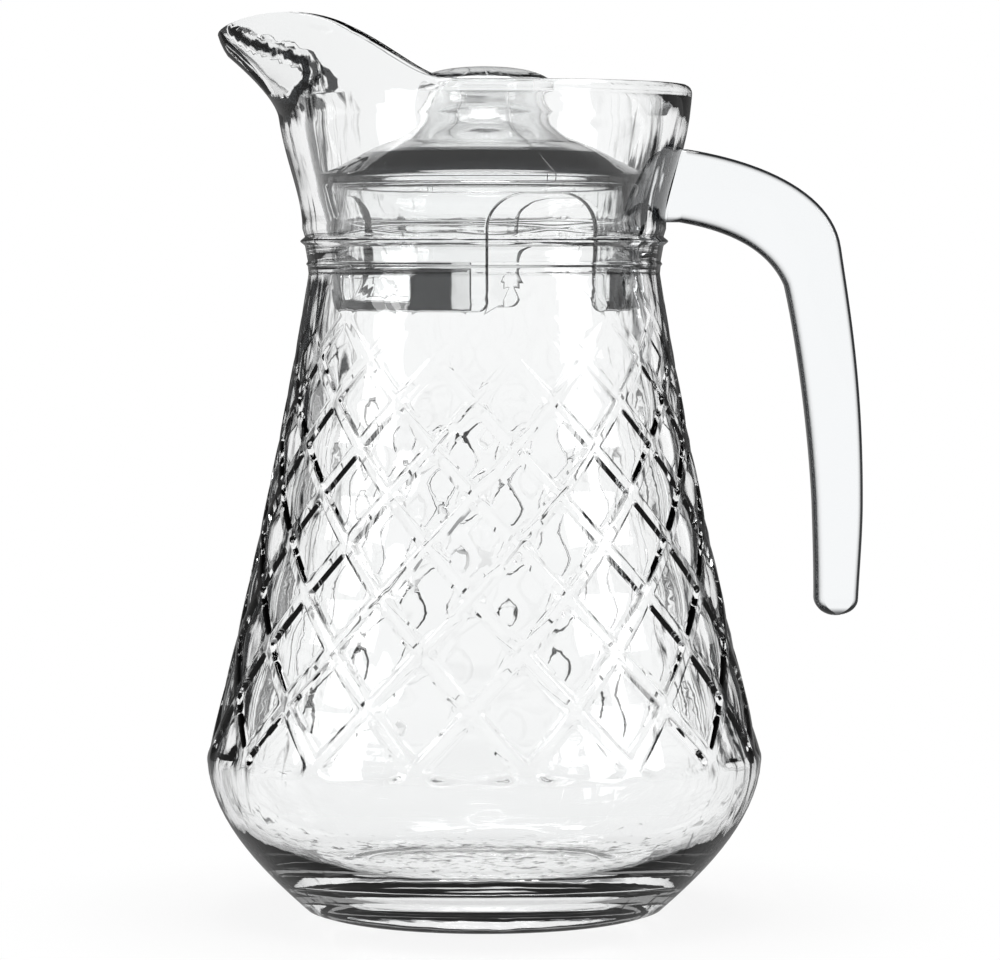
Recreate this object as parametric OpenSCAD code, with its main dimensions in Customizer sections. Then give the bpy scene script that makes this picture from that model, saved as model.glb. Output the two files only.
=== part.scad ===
// Clear glass pitcher with a snap-in lid.
// Origin: centre of the resting ring. +Z up, the spout points to -X and the handle to +X.

/* [Body] */
// Radius at the widest point, low on the body
widest_r = 77.8; // [72:0.1:84]
// Height of the widest point
widest_z = 43; // [36:0.5:50]
// Outer radius of the foot, where the bowl curve starts
foot_r = 50.2; // [47:0.1:54]
// Height of the rounded foot edge
foot_edge = 1.2; // [0.6:0.1:2]
// Distance from the foot's outside to the flat ring that the pitcher rests on
rest_inset = 3.7; // [2:0.1:6]
// Breadth of the flat ring that the pitcher rests on
rest_w = 7.5; // [4:0.1:12]
// Depth of the hollow under the base
punt_depth = 2.2; // [1:0.1:3.5]
// Thickness of glass from the resting plane to the inside floor
floor_t = 10; // [7:0.5:14]
// Distance from the foot's outside to the flat part of the inside floor
floor_inset = 12.2; // [6:0.1:20]
// Wall thickness of the body
wall = 3.8; // [3:0.1:5]
// Radius of the waist under the rings
waist_r = 49.1; // [46:0.1:52]
// Height of the waist
waist_z = 179; // [168:0.5:188]

/* [Diamond lattice] */
// Number of diamonds round the body
cells_round = 16; // [12:1:18]
// Rows of crossings above the lowest one
cell_rows = 10; // [6:1:10]
// Direction of the first column of crossings, in degrees from +X
cell_turn = -81.3; // [-90:0.1:90]
// Height of the lowest crossings above the widest point
cell_rise = 4.2; // [3:0.1:8]
// Distance from the highest crossings up to the waist
cell_drop = 0.6; // [0.4:0.1:6]
// Depth of the panels pressed between the ribs
panel_depth = 0.95; // [0.3:0.05:1.1]

/* [Waist rings] */
// Height of the lower ring above the waist
low_ring_rise = 2.7; // [1.5:0.1:4]
// How far the lower ring stands proud
low_ring_proud = 0.5; // [0.2:0.05:1]
// Height of the lower ring's band
low_ring_h = 1.4; // [0.8:0.1:2]
// Height of the upper ring above the lower one
top_ring_rise = 6.3; // [4:0.1:7]
// How far the upper ring stands proud
top_ring_proud = 1.3; // [0.5:0.05:1.6]
// Height of the upper ring's band
top_ring_h = 2.3; // [1.2:0.1:2.6]

/* [Neck and rim] */
// How far the foot of the neck stands out beyond the waist
neck_out = 1.7; // [0.8:0.1:3]
// Height of the neck's foot above the upper ring
neck_rise = 3.5; // [2:0.1:6]
// Height of the neck, from its foot to the rim
neck_h = 40.1; // [36:0.1:46]
// How far the rim stands out beyond the neck's foot
rim_out = 7.2; // [4:0.1:10]
// Thickness of the rounded rim
rim_t = 5; // [4:0.1:6]
// Thickness of glass at the throat, the narrowest way in
throat_t = 5.2; // [4.4:0.1:7]
// Height of the throat's lower end above the waist
throat_rise = 5; // [3:0.1:8]
// Height of the throat
throat_h = 6; // [3:0.1:7]
// Distance from the rim's outside to the inside of the mouth
mouth_t = 7.5; // [6.5:0.1:8.5]
// Depth below the rim where the rim and spout begin
mouth_drop = 9.6; // [7:0.1:12]

/* [Spout] */
// How far the lip reaches out beyond the rim
spout_reach = 16.3; // [10:0.1:20]
// How far the spout rises above the rim
spout_rise = 19.3; // [12:0.1:24]
// How far the lip's tip lies under the spout's highest point
lip_drop = 5.6; // [3:0.1:8]
// Half width of the blunt lip
lip_half_w = 13; // [9:0.5:16]
// Distance from the axis where the rim begins to rise
rise_start = 9; // [4:0.5:14]
// Height of the slanted end of the lip
lip_h = 5.9; // [4:0.1:7]
// How far the underside of the lip lies behind its tip
lip_back = 2.8; // [1.5:0.1:4]

/* [Handle] */
// Distance from the rim to the outside of the handle
handle_reach = 47.8; // [40:0.1:56]
// Depth of the handle's upper root below the rim
handle_drop = 17.1; // [15:0.1:22]
// Height of the handle, from its upper root to its lower end
handle_h = 131.3; // [105:0.1:146]
// Breadth of the strap along its length
handle_w = 13.5; // [11:0.1:17]
// Breadth of the strap where it joins the neck
handle_root_w = 19; // [15:0.1:24]
// Length of the rounded end
handle_tip = 5; // [3:0.1:7]

/* [Lid] */
// Clearance between the lid's flange and the neck
lid_gap = 0.3; // [0.2:0.05:0.6]
// Clearance between the snap pads and the throat
pad_gap = 0.5; // [0.3:0.05:1]
// Height of the flange's underside above the throat
flange_rise = 14.7; // [12:0.1:18]
// Thickness of the flange's edge
flange_t = 1.9; // [1.4:0.1:2.6]
// Wall thickness of the moulding
lid_wall = 2; // [1.5:0.1:2.6]
// Length of the legs below the flange
leg_h = 36.1; // [33:0.1:40]
// Height of the knob's underside above the flange's
knob_rise = 21.6; // [17:0.1:26]
// Height of the knob's edge
knob_h = 7.6; // [6:0.1:10]
// Radius of the knob's neck
knob_neck_r = 15.7; // [13:0.1:18]
// How far the knob stands out beyond its neck
knob_lip = 3.6; // [2:0.1:6]
// Height of the crown on top of the knob
knob_crown = 2.8; // [1:0.1:4]
// Radius of the knob's rounded edges
knob_edge = 1.8; // [1:0.1:2.6]
// Thickness of plastic over the hollow of the knob
knob_top_t = 3; // [2:0.1:4]

/* [Lid legs] */
// Number of pouring arches, with a leg between each two
arch_count = 3; // [2:1:4]
// Width of each arch
arch_w = 30.6; // [24:0.1:34]
// Height of the band left between the arches and the flange
arch_band = 3.1; // [2.4:0.1:8]
// Radius of the arches' upper corners
arch_corner = 10.5; // [6:0.1:12]
// Direction of the first arch, in degrees from +X
arch_turn = -66.5; // [-120:0.5:0]
// Radius of the legs' lower corners
leg_corner = 2.6; // [1:0.1:4]
// How far the snap pads stand out of the legs
pad_proud = 2; // [1.2:0.1:2.6]
// Height of the snap pads
pad_h = 12.4; // [9:0.1:14]
// Height of the snap pads above the legs' lower ends
pad_lift = 0.4; // [0.2:0.1:2]
// How far the pad's low step stands out of the leg
pad_step = 0.8; // [0.4:0.1:1.1]
// Distance from the side of a leg to its pad
pad_inset = 4.6; // [3:0.1:7]
// Height of the bevels on the pads' upper and lower edges
pad_bevel = 1; // [0.5:0.1:1.1]

/* [Resolution] */
// Steps along each curve of an outline
curve_steps = 10; // [6:1:16]
// Steps along each side of the spout
spout_steps = 16; // [10:1:16]
// Steps round the plain part of the rim
rim_steps = 22; // [14:1:24]

/* [Hidden] */
$fn = 96;

// Length by which every cut runs past what it cuts
over = 1;
// Depth that a formed piece reaches into the solid that carries it
bond = 1.5;
// Step left where a formed surface leaves the turned glass
seam = 0.15;

// Radii and heights that follow from the sizes above
rest_outer_r = foot_r - rest_inset;
rest_inner_r = rest_outer_r - rest_w;
floor_r = foot_r - floor_inset;
low_ring_z = waist_z + low_ring_rise;
top_ring_z = low_ring_z + top_ring_rise;
neck_r = waist_r + neck_out;
neck_z = top_ring_z + neck_rise;
rim_r = neck_r + rim_out;
rim_z = neck_z + neck_h;
throat_r = waist_r - throat_t;
throat_low_z = waist_z + throat_rise;
throat_top_z = throat_low_z + throat_h;
mouth_r = rim_r - mouth_t;
mouth_z = rim_z - mouth_drop;
handle_x = rim_r + handle_reach;
handle_top_z = rim_z - handle_drop;
handle_end_z = handle_top_z - handle_h;
flange_z = throat_top_z + flange_rise;
skirt_r = throat_r - pad_gap - pad_proud;
leg_z = flange_z - leg_h;
knob_z = flange_z + knob_rise;
knob_r = knob_neck_r + knob_lip;
arch_z = flange_z - arch_band;

// Control points of the outlines, as shares of the spans that they follow
bowl_shares = [[0, 0], [0.355, 0.212], [0.957, 0.57], [1, 1]];
side_shares = [[0, 0], [0.347, 0.27], [0.775, 0.704], [1, 1]];
flare_shares = [[0, 0], [0, 0.287], [1, 0.561], [1, 1]];
floor_shares = [[0, 0], [0.54, 0], [1, 0.49], [1, 1]];
shoulder_share = 0.07;
crown_shares = [[0, 1], [0.45, 1], [0.85, 0.75], [1, 0]];
dome_neck_shares = [[0, 1], [0.006, 0.724], [0.153, 0.638], [0.361, 0.533]];
dome_side_shares = [[0.361, 0.533], [0.569, 0.432], [0.776, 0.231], [0.974, 0.045]];
rise_shares = [[0, 0], [0.21, 0], [0.53, 1], [1, 1]];
rise_end_share = 0.68;

// Start of the hollow's flat part, as a share of the resting ring's inner radius
punt_share = 0.85;
// Directions in which the spout's edge leaves the round rim and reaches the lip
beak_reach_share = 1.35;
beak_climb_share = 0.4;
lip_fall_share = 0.45;
// Section of the lip from outside to inside, and the places of the bends outside and inside the rim
lip_edge_shares = [[-1, -1], [-0.62, -0.72], [-0.25, -0.35], [0, 0], [-0.6, -0.12], [-1.3, -0.38]];
out_knee_share = 0.62;
in_knee_shares = [0.8, 0.78];
bend_share = 0.66;
// Roundness of the strap's section, and the share of its length over which it widens to its root
strap_soft_share = 0.72;
root_share = 0.222;

// Half of a rib, and the middle of the groove beside it, as shares of a diamond
rib_share = 0.062;
groove_share = 0.125;
// Height to which the middle of a panel swells back, as a share of its depth
swell_share = 0.9;
// Depth of the top row's panels, the row where the panels begin to get shallower, and the rows' taper
top_depth_share = 0.45;
fade_start_share = 0.6;
row_ratio_share = 0.957;

// The two edges of the handle, seen from the side: shares out from the neck and up from the lower end
handle_out_shares = [
    [[-0.077, 1], [0.35, 0.984], [0.83, 0.92], [0.88, 0.785]],
    [[0.88, 0.785], [0.93, 0.65], [1, 0.497], [1, 0.244]],
    [[1, 0.244], [1, 0.175], [0.985, 0.106], [0.977, 0.038]]
];
handle_in_shares = [
    [[-0.077, 0.845], [0.27, 0.83], [0.502, 0.785], [0.589, 0.704]],
    [[0.589, 0.704], [0.633, 0.63], [0.714, 0.433], [0.739, 0.244]],
    [[0.739, 0.244], [0.745, 0.175], [0.751, 0.106], [0.751, 0.038]]
];

// Point at share t of a cubic curve with control points c
function bezier(c, t) =
    c[0] * pow(1 - t, 3) + c[1] * 3 * t * pow(1 - t, 2) + c[2] * 3 * t * t * (1 - t) + c[3] * pow(t, 3);

// Curve from point a to point b whose control points are shares of the way between them
function curve(shares, a, b, n = curve_steps, last = 1) =
    let (c = [for (s = shares) [a.x + (b.x - a.x) * s.x, a.y + (b.y - a.y) * s.y]])
    [for (i = [0 : n]) bezier(c, last * i / n)];

// The outline of points moved to its right by the distance d
function offset_line(pts, d) =
    [for (i = [0 : len(pts) - 1])
        let (
            a = pts[max(i - 1, 0)],
            b = pts[min(i + 1, len(pts) - 1)],
            along = (b - a) / norm(b - a)
        )
        pts[i] + d * [along.y, -along.x]];

function reversed(pts) = [for (i = [len(pts) - 1 : -1 : 0]) pts[i]];
function mix(a, b, share) = a + (b - a) * share;
function clamp(t) = min(max(t, 0), 1);
function ease(t) = t * t * (3 - 2 * t);

// Outline of the turned glass, from the foot to the mouth
widest = [widest_r, widest_z];
shoulder = [widest_r - shoulder_share * wall, widest_z + wall / 2];
bowl_line = curve(bowl_shares, [foot_r, foot_edge], widest);
side_line = curve(side_shares, shoulder, [waist_r, waist_z], 2 * curve_steps);
function ring_line(z, r, proud, h) =
    [[r, z - h / 2], [r + proud, z - h / 4], [r + proud, z + h / 4], [r, z + h / 2]];
low_ring_line = ring_line(low_ring_z, waist_r + low_ring_proud / 2, low_ring_proud / 2, low_ring_h);
top_ring_line = ring_line(top_ring_z, neck_r - top_ring_proud / 2, top_ring_proud, top_ring_h);
flare_line = curve(flare_shares, [neck_r, neck_z], [rim_r, rim_z], 2 * curve_steps);
flare_low = [for (p = flare_line) if (p.y < mouth_z - bond) p];

// Outer radius of the flared neck at height z
function flare_r(z) = lookup(z, [for (p = flare_line) [p.y, p.x]]);
// Inner radius of the neck at height z, a plain cone above the throat
function neck_in_r(z) = mix(throat_r, mouth_r, (z - throat_top_z) / (mouth_z - throat_top_z));

inner_waist = [waist_r - wall, waist_z - wall];
inner_line = concat(
    [[0, floor_t]],
    curve(floor_shares, [floor_r, floor_t], [widest_r - wall, widest_z]),
    curve(side_shares, [widest_r - wall, widest_z + wall / 2], inner_waist, 2 * curve_steps),
    [[throat_r, throat_low_z], [throat_r, throat_top_z], [mouth_r, mouth_z]]
);

// Radius of the side at height z, and the ledge from which the lattice's skin fills out the turned glass
function side_r(z) = lookup(z, [for (p = side_line) [p.y, p.x]]);
skin_low_z = widest_z + bond;
skin_top_z = waist_z + cell_drop / 2;
core_line = [for (p = side_line) if (p.y > skin_low_z && p.y < skin_top_z) p - [wall / 2, 0]];
outer_line = concat(
    [[0, punt_depth], [rest_inner_r * punt_share, punt_depth], [rest_inner_r, 0], [rest_outer_r, 0]],
    bowl_line,
    [[side_r(skin_low_z), skin_low_z], [side_r(skin_low_z) - wall / 2, skin_low_z]],
    core_line,
    [[waist_r - wall / 2, skin_top_z], [waist_r, skin_top_z]],
    low_ring_line,
    top_ring_line,
    flare_low,
    [[flare_r(mouth_z), mouth_z]]
);

// Heights of the rows of crossings, closer together towards the waist
row_total = 1 - pow(row_ratio_share, cell_rows);
cell_low_z = widest_z + cell_rise;
function row_z(k) = mix(cell_low_z, waist_z - cell_drop, (1 - pow(row_ratio_share, k)) / row_total);

// Depth of the pressed pattern at a point whose distances from the ribs in both directions are shares s and t
function panel(s, t, k) =
    let (
        sunk = ease(clamp((s - rib_share) / (groove_share - rib_share)))
            * ease(clamp((t - rib_share) / (groove_share - rib_share)))
            * ease(clamp((cell_rows - k) / 2 / groove_share)),
        swell = ease(clamp((s - groove_share) / (0.5 - groove_share)))
            * ease(clamp((t - groove_share) / (0.5 - groove_share))),
        fade = ease(clamp((k / cell_rows - fade_start_share) / (1 - fade_start_share)))
    )
    panel_depth * mix(1, top_depth_share, fade) * sunk * (1 - swell_share * sqrt(swell));

// Places of the mesh lines in one diamond: two on each rib, the grooves and the middle
line_shares = [rib_share, groove_share, 0.5, 1 - groove_share, 1 - rib_share];
lines = len(line_shares);
function line_at(i) = floor(i / lines) + line_shares[((i % lines) + lines) % lines];
function from_rib(a) = abs(a - round(a));

// Point of the skin where line p of the ribs that climb to the right crosses line p - d of the others
function skin_point(p, d) =
    let (
        a = line_at(p),
        b = line_at(p - d),
        k = a - b,
        z = row_z(k),
        turn = cell_turn + 180 / cells_round * (a + b),
        r = side_r(z) - panel(from_rib(a), from_rib(b), k)
    )
    [r * cos(turn), r * sin(turn), z];

// End of the skin below or above a point of it, inside the turned glass
function skin_end(point, r, z) =
    let (unit = [point.x, point.y] / norm([point.x, point.y]))
    [r * unit.x, r * unit.y, z];

// Solid core with the diamonds pressed into it, made of one section for each line of the climbing ribs
module lattice_core() {
    d_last = lines * cell_rows;
    low_z = skin_low_z - bond;
    top_z = skin_top_z + bond;
    sections = [for (p = [0 : lines * cells_round - 1])
        concat(
            [skin_end(skin_point(p, 0), widest_r - seam, low_z)],
            [for (d = [0 : d_last]) skin_point(p, d)],
            [skin_end(skin_point(p, d_last), waist_r - seam, top_z)]
        )];
    plug_of(sections, low_z, top_z);
}

module turned_glass() {
    difference() {
        union() {
            rotate_extrude() polygon(concat(outer_line, [[0, mouth_z]]));
            lattice_core();
        }
        rotate_extrude() polygon(concat(inner_line, [[mouth_r, mouth_z + over], [0, mouth_z + over]]));
    }
}

// Rim edge seen from above: round, then drawn out to the lip
tip_x = rim_r + spout_reach;
rise_line = curve(rise_shares, [rise_start, rim_z], [rim_r, rim_z + spout_rise], spout_steps, rise_end_share);
rise_last = rise_line[spout_steps];
rise_last_y = sqrt(rim_r * rim_r - rise_last.x * rise_last.x);
// The curve leaves the round rim along its own direction and ends square to the lip
beak = [
    [rise_last.x, rise_last_y, rise_last.y],
    [rise_last.x, rise_last_y, rise_last.y]
        + spout_reach * beak_reach_share * [rise_last_y / rim_r, -rise_last.x / rim_r, beak_climb_share],
    [tip_x, lip_half_w, rim_z + spout_rise - lip_drop * lip_fall_share],
    [tip_x, 0, rim_z + spout_rise - lip_drop]
];
half_edge = concat(
    [for (i = [0 : spout_steps]) bezier(beak, 1 - i / spout_steps)],
    [for (i = [spout_steps - 1 : -1 : 1])
        let (p = rise_line[i])
        [p.x, sqrt(rim_r * rim_r - p.x * p.x), p.y]],
    [for (i = [0 : rim_steps])
        let (
            a0 = acos(rise_start / rim_r),
            a = mix(a0, 180, i / rim_steps)
        )
        [rim_r * cos(a), rim_r * sin(a), rim_z]]
);
rim_edge = concat(
    half_edge,
    [for (i = [len(half_edge) - 2 : -1 : 1]) [half_edge[i].x, -half_edge[i].y, half_edge[i].z]]
);

// Shape of the edge from outside to inside, measured back from its outermost, highest corner
edge_last = len(lip_edge_shares) - 1;
round_edge = [for (i = [0 : edge_last])
    let (a = 180 * i / edge_last)
    rim_t / 2 * [cos(a) - 1, sin(a) - 1]];
lip_edge = [for (s = lip_edge_shares) [lip_back * s.x, lip_h * s.y]];
// Angle from the spout's middle over which the lip's section changes to the rounded one
blunt_angle = 50;
// Steps from the rim's edge down to the mouth, outside and inside
side_steps = 5;

function bend(a, knee, b, t) = bezier([a, mix(a, knee, bend_share), mix(b, knee, bend_share), b], t);

// Closed section of the wall at one point of the rim, as [radius, height]
function rim_section(p) =
    let (
        r = norm([p.x, p.y]),
        turn = atan2(abs(p.y), p.x),
        blunt = ease(clamp(1 - turn / blunt_angle)),
        edge = [for (i = [0 : edge_last]) [r, p.z] + mix(round_edge[i], lip_edge[i], blunt)],
        out0 = [flare_r(mouth_z) - seam, mouth_z],
        in0 = [mouth_r + seam, mouth_z],
        out_knee = [rim_r + seam, mix(mouth_z, rim_z, out_knee_share)],
        in_knee = [mix(mouth_r, rim_r - rim_t, in_knee_shares.x), mix(mouth_z, rim_z, in_knee_shares.y)]
    )
    concat(
        [out0 - [0, bond]],
        [for (i = [0 : side_steps - 1]) bend(out0, out_knee, edge[0], i / side_steps)],
        edge,
        [for (i = [1 : side_steps]) bend(edge[edge_last], in_knee, in0, i / side_steps)],
        [in0 - [0, bond]]
    );

// Closed ring of equal sections: each section is a list of points, faces join it to the next
module ring_of(sections) {
    n = len(sections);
    m = len(sections[0]);
    faces = [for (i = [0 : n - 1], j = [0 : m - 1])
        let (
            a = i * m + j,
            b = i * m + (j + 1) % m,
            c = ((i + 1) % n) * m + (j + 1) % m,
            d = ((i + 1) % n) * m + j
        )
        each [[a, c, b], [a, d, c]]];
    polyhedron([for (s = sections) each s], faces);
}

// Solid of revolution-like sections closed at the axis, at height z0 below and z1 above
module plug_of(sections, z0, z1) {
    n = len(sections);
    m = len(sections[0]);
    foot = n * m;
    faces = [for (i = [0 : n - 1], j = [0 : m - 2])
        let (
            a = i * m + j,
            b = a + 1,
            c = ((i + 1) % n) * m + j + 1,
            d = ((i + 1) % n) * m + j
        )
        each [[a, b, c], [a, c, d]]];
    ends = [for (i = [0 : n - 1])
        let (j = (i + 1) % n)
        each [[foot, i * m, j * m], [foot + 1, j * m + m - 1, i * m + m - 1]]];
    polyhedron(concat([for (s = sections) each s], [[0, 0, z0], [0, 0, z1]]), concat(faces, ends));
}

module rim_and_spout() {
    ring_of([for (p = rim_edge)
        let (unit = [p.x, p.y] / norm([p.x, p.y]))
        [for (q = rim_section(p)) [-q.x * unit.x, q.x * unit.y, q.y]]]);
}

module glass_body() {
    color([0.86, 0.92, 0.92, 0.6]) union() {
        turned_glass();
        rim_and_spout();
    }
}

// One edge of the handle, as points from the root to the lower end
handle_steps = 9;
handle_neck_r = flare_r(mix(neck_z, handle_top_z, 0.5));
function handle_edge(chain) =
    [for (k = [0 : len(chain) - 1])
        each curve(chain[k], [handle_neck_r, handle_end_z], [handle_x, handle_top_z], handle_steps,
            1 - (k < len(chain) - 1 ? 1 / (handle_steps + 1) : 0))];

// Cross-section of the strap between its outer point a and inner point b, of breadth w
strap_points = 20;
function strap_section(a, b, w) =
    let (
        mid = (a + b) / 2,
        half = (a - b) / 2
    )
    [for (i = [0 : strap_points - 1])
        let (
            t = 360 * i / strap_points,
            u = sign(cos(t)) * pow(abs(cos(t)), strap_soft_share),
            v = sign(sin(t)) * pow(abs(sin(t)), strap_soft_share)
        )
        [mid.x + half.x * u, v * w / 2, mid.y + half.y * u]];

module chain_of(sections) {
    n = len(sections);
    m = len(sections[0]);
    sides = [for (i = [0 : n - 2], j = [0 : m - 1])
        let (
            a = i * m + j,
            b = i * m + (j + 1) % m,
            c = (i + 1) * m + (j + 1) % m,
            d = (i + 1) * m + j
        )
        each [[a, b, c], [a, c, d]]];
    caps = [for (j = [1 : m - 2]) each [[0, j + 1, j], [(n - 1) * m, (n - 1) * m + j, (n - 1) * m + j + 1]]];
    polyhedron([for (s = sections) each s], concat(sides, caps));
}

// Rings of the rounded end, and how far the last one has turned in towards the end's middle
tip_steps = 5;
tip_turn = 86;

module handle_strap() {
    outer = handle_edge(handle_out_shares);
    inner = handle_edge(handle_in_shares);
    n = len(outer);
    spread = [for (i = [0 : n - 1]) ease(clamp(1 - i / n / root_share))];
    last = n - 1;
    mid = (outer[last] + inner[last]) / 2;
    tip = [for (k = [1 : tip_steps])
        let (a = tip_turn * k / tip_steps)
        strap_section(
            mix(mid, outer[last], cos(a)) - [0, handle_tip * sin(a)],
            mix(mid, inner[last], cos(a)) - [0, handle_tip * sin(a)],
            handle_w * cos(a)
        )];
    chain_of(concat(
        [for (i = [0 : last]) strap_section(outer[i], inner[i], mix(handle_w, handle_root_w, spread[i]))],
        tip
    ));
}

module handle() {
    color([0.86, 0.92, 0.92, 0.6]) difference() {
        handle_strap();
        rotate_extrude() polygon(concat(
            [[0, neck_z]],
            flare_low,
            [[flare_r(mouth_z), mouth_z], [0, mouth_z]]
        ));
    }
}

// Lid: outline of the knob and dome from the top down
knob_top_z = knob_z + knob_h;
flange_r = neck_in_r(flange_z) - lid_gap;
flange_top = [neck_in_r(flange_z + flange_t) - lid_gap, flange_z + flange_t];
dome_top = [knob_neck_r, knob_z];
crown_line = curve(crown_shares, [0, knob_top_z - knob_edge], [knob_r, knob_top_z + knob_crown]);
dome_side = curve(dome_side_shares, [dome_top.x, flange_top.y], [flange_top.x, dome_top.y]);
dome_line = concat(
    curve(dome_neck_shares, [dome_top.x, flange_top.y], [flange_top.x, dome_top.y]),
    [for (i = [1 : curve_steps]) dome_side[i]]
);
skirt_in_r = skirt_r - lid_wall;
hollow_line = [for (p = offset_line(dome_line, lid_wall))
    if (p.x < skirt_in_r - lid_wall / 4 && p.x > knob_neck_r - lid_wall && p.y < knob_z - lid_wall / 4) p];

module lid_shell() {
    rotate_extrude() polygon(concat(
        crown_line,
        [[knob_r, knob_z + knob_edge], [knob_r - knob_edge, knob_z]],
        dome_line,
        [flange_top, [flange_r, flange_z], [skirt_r, flange_z], [skirt_r, leg_z], [skirt_in_r, leg_z]],
        [[skirt_in_r, hollow_line[len(hollow_line) - 1].y - lid_wall / 2]],
        reversed(hollow_line),
        [[knob_neck_r - lid_wall, knob_top_z - knob_top_t], [0, knob_top_z - knob_top_t]]
    ));
}

// Points of an arc about c, from angle a to angle b
arc_steps = 8;
function arc(c, r, a, b) =
    [for (i = [0 : arc_steps]) let (t = mix(a, b, i / arc_steps)) c + r * [cos(t), sin(t)]];

// Side view of one arch cut: flat top with round corners, flared round the legs' lower corners.
// The flare starts a share of its radius under the leg, so that it meets the leg's end at a clear angle
corner_sink_share = 0.12;
arch_h = arch_z - leg_z;
arch_side = concat(
    [[arch_w / 2 + leg_corner, -over]],
    arc([arch_w / 2 + leg_corner, leg_corner * (1 - corner_sink_share)], leg_corner, 270, 180),
    arc([arch_w / 2 - arch_corner, arch_h - arch_corner], arch_corner, 0, 90)
);

module arch_outline() {
    polygon(concat(arch_side, [for (p = reversed(arch_side)) [-p.x, p.y]]));
}

module arch_cut(turn) {
    rotate([0, 0, turn]) translate([skirt_r / 2, 0, leg_z])
        rotate([90, 0, 90]) linear_extrude(skirt_r / 2 + pad_proud + over) arch_outline();
}

// Plan of the three pads' steps on one leg, as [angle, how far it stands out]
arch_angle = 2 * asin(arch_w / 2 / skirt_r);
leg_angle = 360 / arch_count - arch_angle;
inset_angle = 2 * asin(pad_inset / 2 / skirt_r);
pad_angle = leg_angle - 2 * inset_angle;
pad_shares = [[0, 1], [0.7, 1], [0.87, 0], [1, 0]];
pad_z = leg_z + pad_lift;

module pad_plan() {
    root = skirt_r - lid_wall / 2;
    steps = 16;
    function proud(s) = mix(pad_step, pad_proud, lookup(s, pad_shares));
    polygon(concat(
        [for (i = [0 : steps])
            let (a = mix(-pad_angle / 2, pad_angle / 2, i / steps), r = skirt_r + proud(i / steps))
            r * [cos(a), sin(a)]],
        [for (i = [steps : -1 : 0])
            let (a = mix(-pad_angle / 2, pad_angle / 2, i / steps))
            root * [cos(a), sin(a)]]
    ));
}

module pads() {
    intersection() {
        for (i = [0 : arch_count - 1])
            rotate([0, 0, arch_turn + (i + 0.5) * 360 / arch_count])
                translate([0, 0, pad_z]) linear_extrude(pad_h) pad_plan();
        rotate_extrude() polygon([
            [skirt_in_r, pad_z],
            [skirt_r + pad_proud - pad_bevel, pad_z],
            [skirt_r + pad_proud, pad_z + pad_bevel],
            [skirt_r + pad_proud, pad_z + pad_h - pad_bevel],
            [skirt_r + pad_proud - pad_bevel, pad_z + pad_h],
            [skirt_in_r, pad_z + pad_h]
        ]);
    }
}

module lid() {
    color([0.9, 0.93, 0.95, 0.6]) difference() {
        union() {
            lid_shell();
            pads();
        }
        for (i = [0 : arch_count - 1])
            arch_cut(arch_turn + i * 360 / arch_count);
    }
}

glass_body();
handle();
lid();
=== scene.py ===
"""Clear glass pitcher with a snap-in lid: pressed and fire-polished glass, its drawn handle and the moulded lid."""
import math

import bmesh
import bpy
import numpy as np
from mathutils import Matrix, Vector


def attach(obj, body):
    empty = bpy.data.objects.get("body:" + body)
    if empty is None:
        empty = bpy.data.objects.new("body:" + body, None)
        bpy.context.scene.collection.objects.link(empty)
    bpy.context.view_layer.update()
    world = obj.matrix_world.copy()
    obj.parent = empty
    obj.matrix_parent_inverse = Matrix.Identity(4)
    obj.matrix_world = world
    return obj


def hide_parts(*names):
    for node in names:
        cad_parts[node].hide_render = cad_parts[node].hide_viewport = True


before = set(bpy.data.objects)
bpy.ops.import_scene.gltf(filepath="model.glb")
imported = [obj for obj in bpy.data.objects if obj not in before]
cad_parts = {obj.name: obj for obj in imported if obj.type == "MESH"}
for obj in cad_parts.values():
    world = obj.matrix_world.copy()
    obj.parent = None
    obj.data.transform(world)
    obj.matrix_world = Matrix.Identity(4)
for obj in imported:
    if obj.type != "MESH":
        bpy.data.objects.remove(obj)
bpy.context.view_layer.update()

MM = 0.001
DEG = math.pi / 180

# Outline of the turned glass, as in the solid model: radii and heights
FOOT_R, FOOT_EDGE = 50.2 * MM, 1.2 * MM
REST_OUTER_R, REST_INNER_R = 46.5 * MM, 39 * MM
PUNT_DEPTH, PUNT_SHARES = 2.2 * MM, (0.85, 0.5, 0.2)
FLOOR_R, FLOOR_T, FLOOR_MIDDLE_SHARES = 38 * MM, 10 * MM, (0.7, 0.3, 0)
WIDEST_R, WIDEST_Z = 77.8 * MM, 43 * MM
WALL = 3.8 * MM
WAIST_R, WAIST_Z = 49.1 * MM, 179 * MM
NECK_R, NECK_Z = 50.8 * MM, 191.5 * MM
RIM_R, RIM_Z, RIM_T = 58 * MM, 231.6 * MM, 5 * MM
THROAT_R, THROAT_LOW, THROAT_TOP = 43.9 * MM, 184 * MM, 190 * MM
MOUTH_R, MOUTH_Z = 50.5 * MM, 222 * MM
THROAT_LEDGE, THROAT_WAVE, THROAT_STRAIGHT = 0.35 * MM, 0.6 * MM, 2 * MM
# Rounded corners: reach and number of steps
FOOT_ROUND, RING_ROUND, LEDGE_ROUND, THROAT_ROUND = (1.6 * MM, 3), (0.25 * MM, 2), (0.5 * MM, 3), (2.4 * MM, 5)
# Waves of the ledge at the throat: share of the height, number round the axis and phase
LEDGE_WAVES, LEDGE_REACH = ((0.6, 5, 0.4), (0.4, 11, 2)), 3 * MM

# Raised rings round the waist: height of the middle, radius under the ring, how proud it stands, height of the band
LOW_RING = (181.7 * MM, 49.3 * MM, 0.45 * MM, 1.3 * MM)
TOP_RING = (188 * MM, 50.1 * MM, 1.3 * MM, 2.4 * MM)
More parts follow.
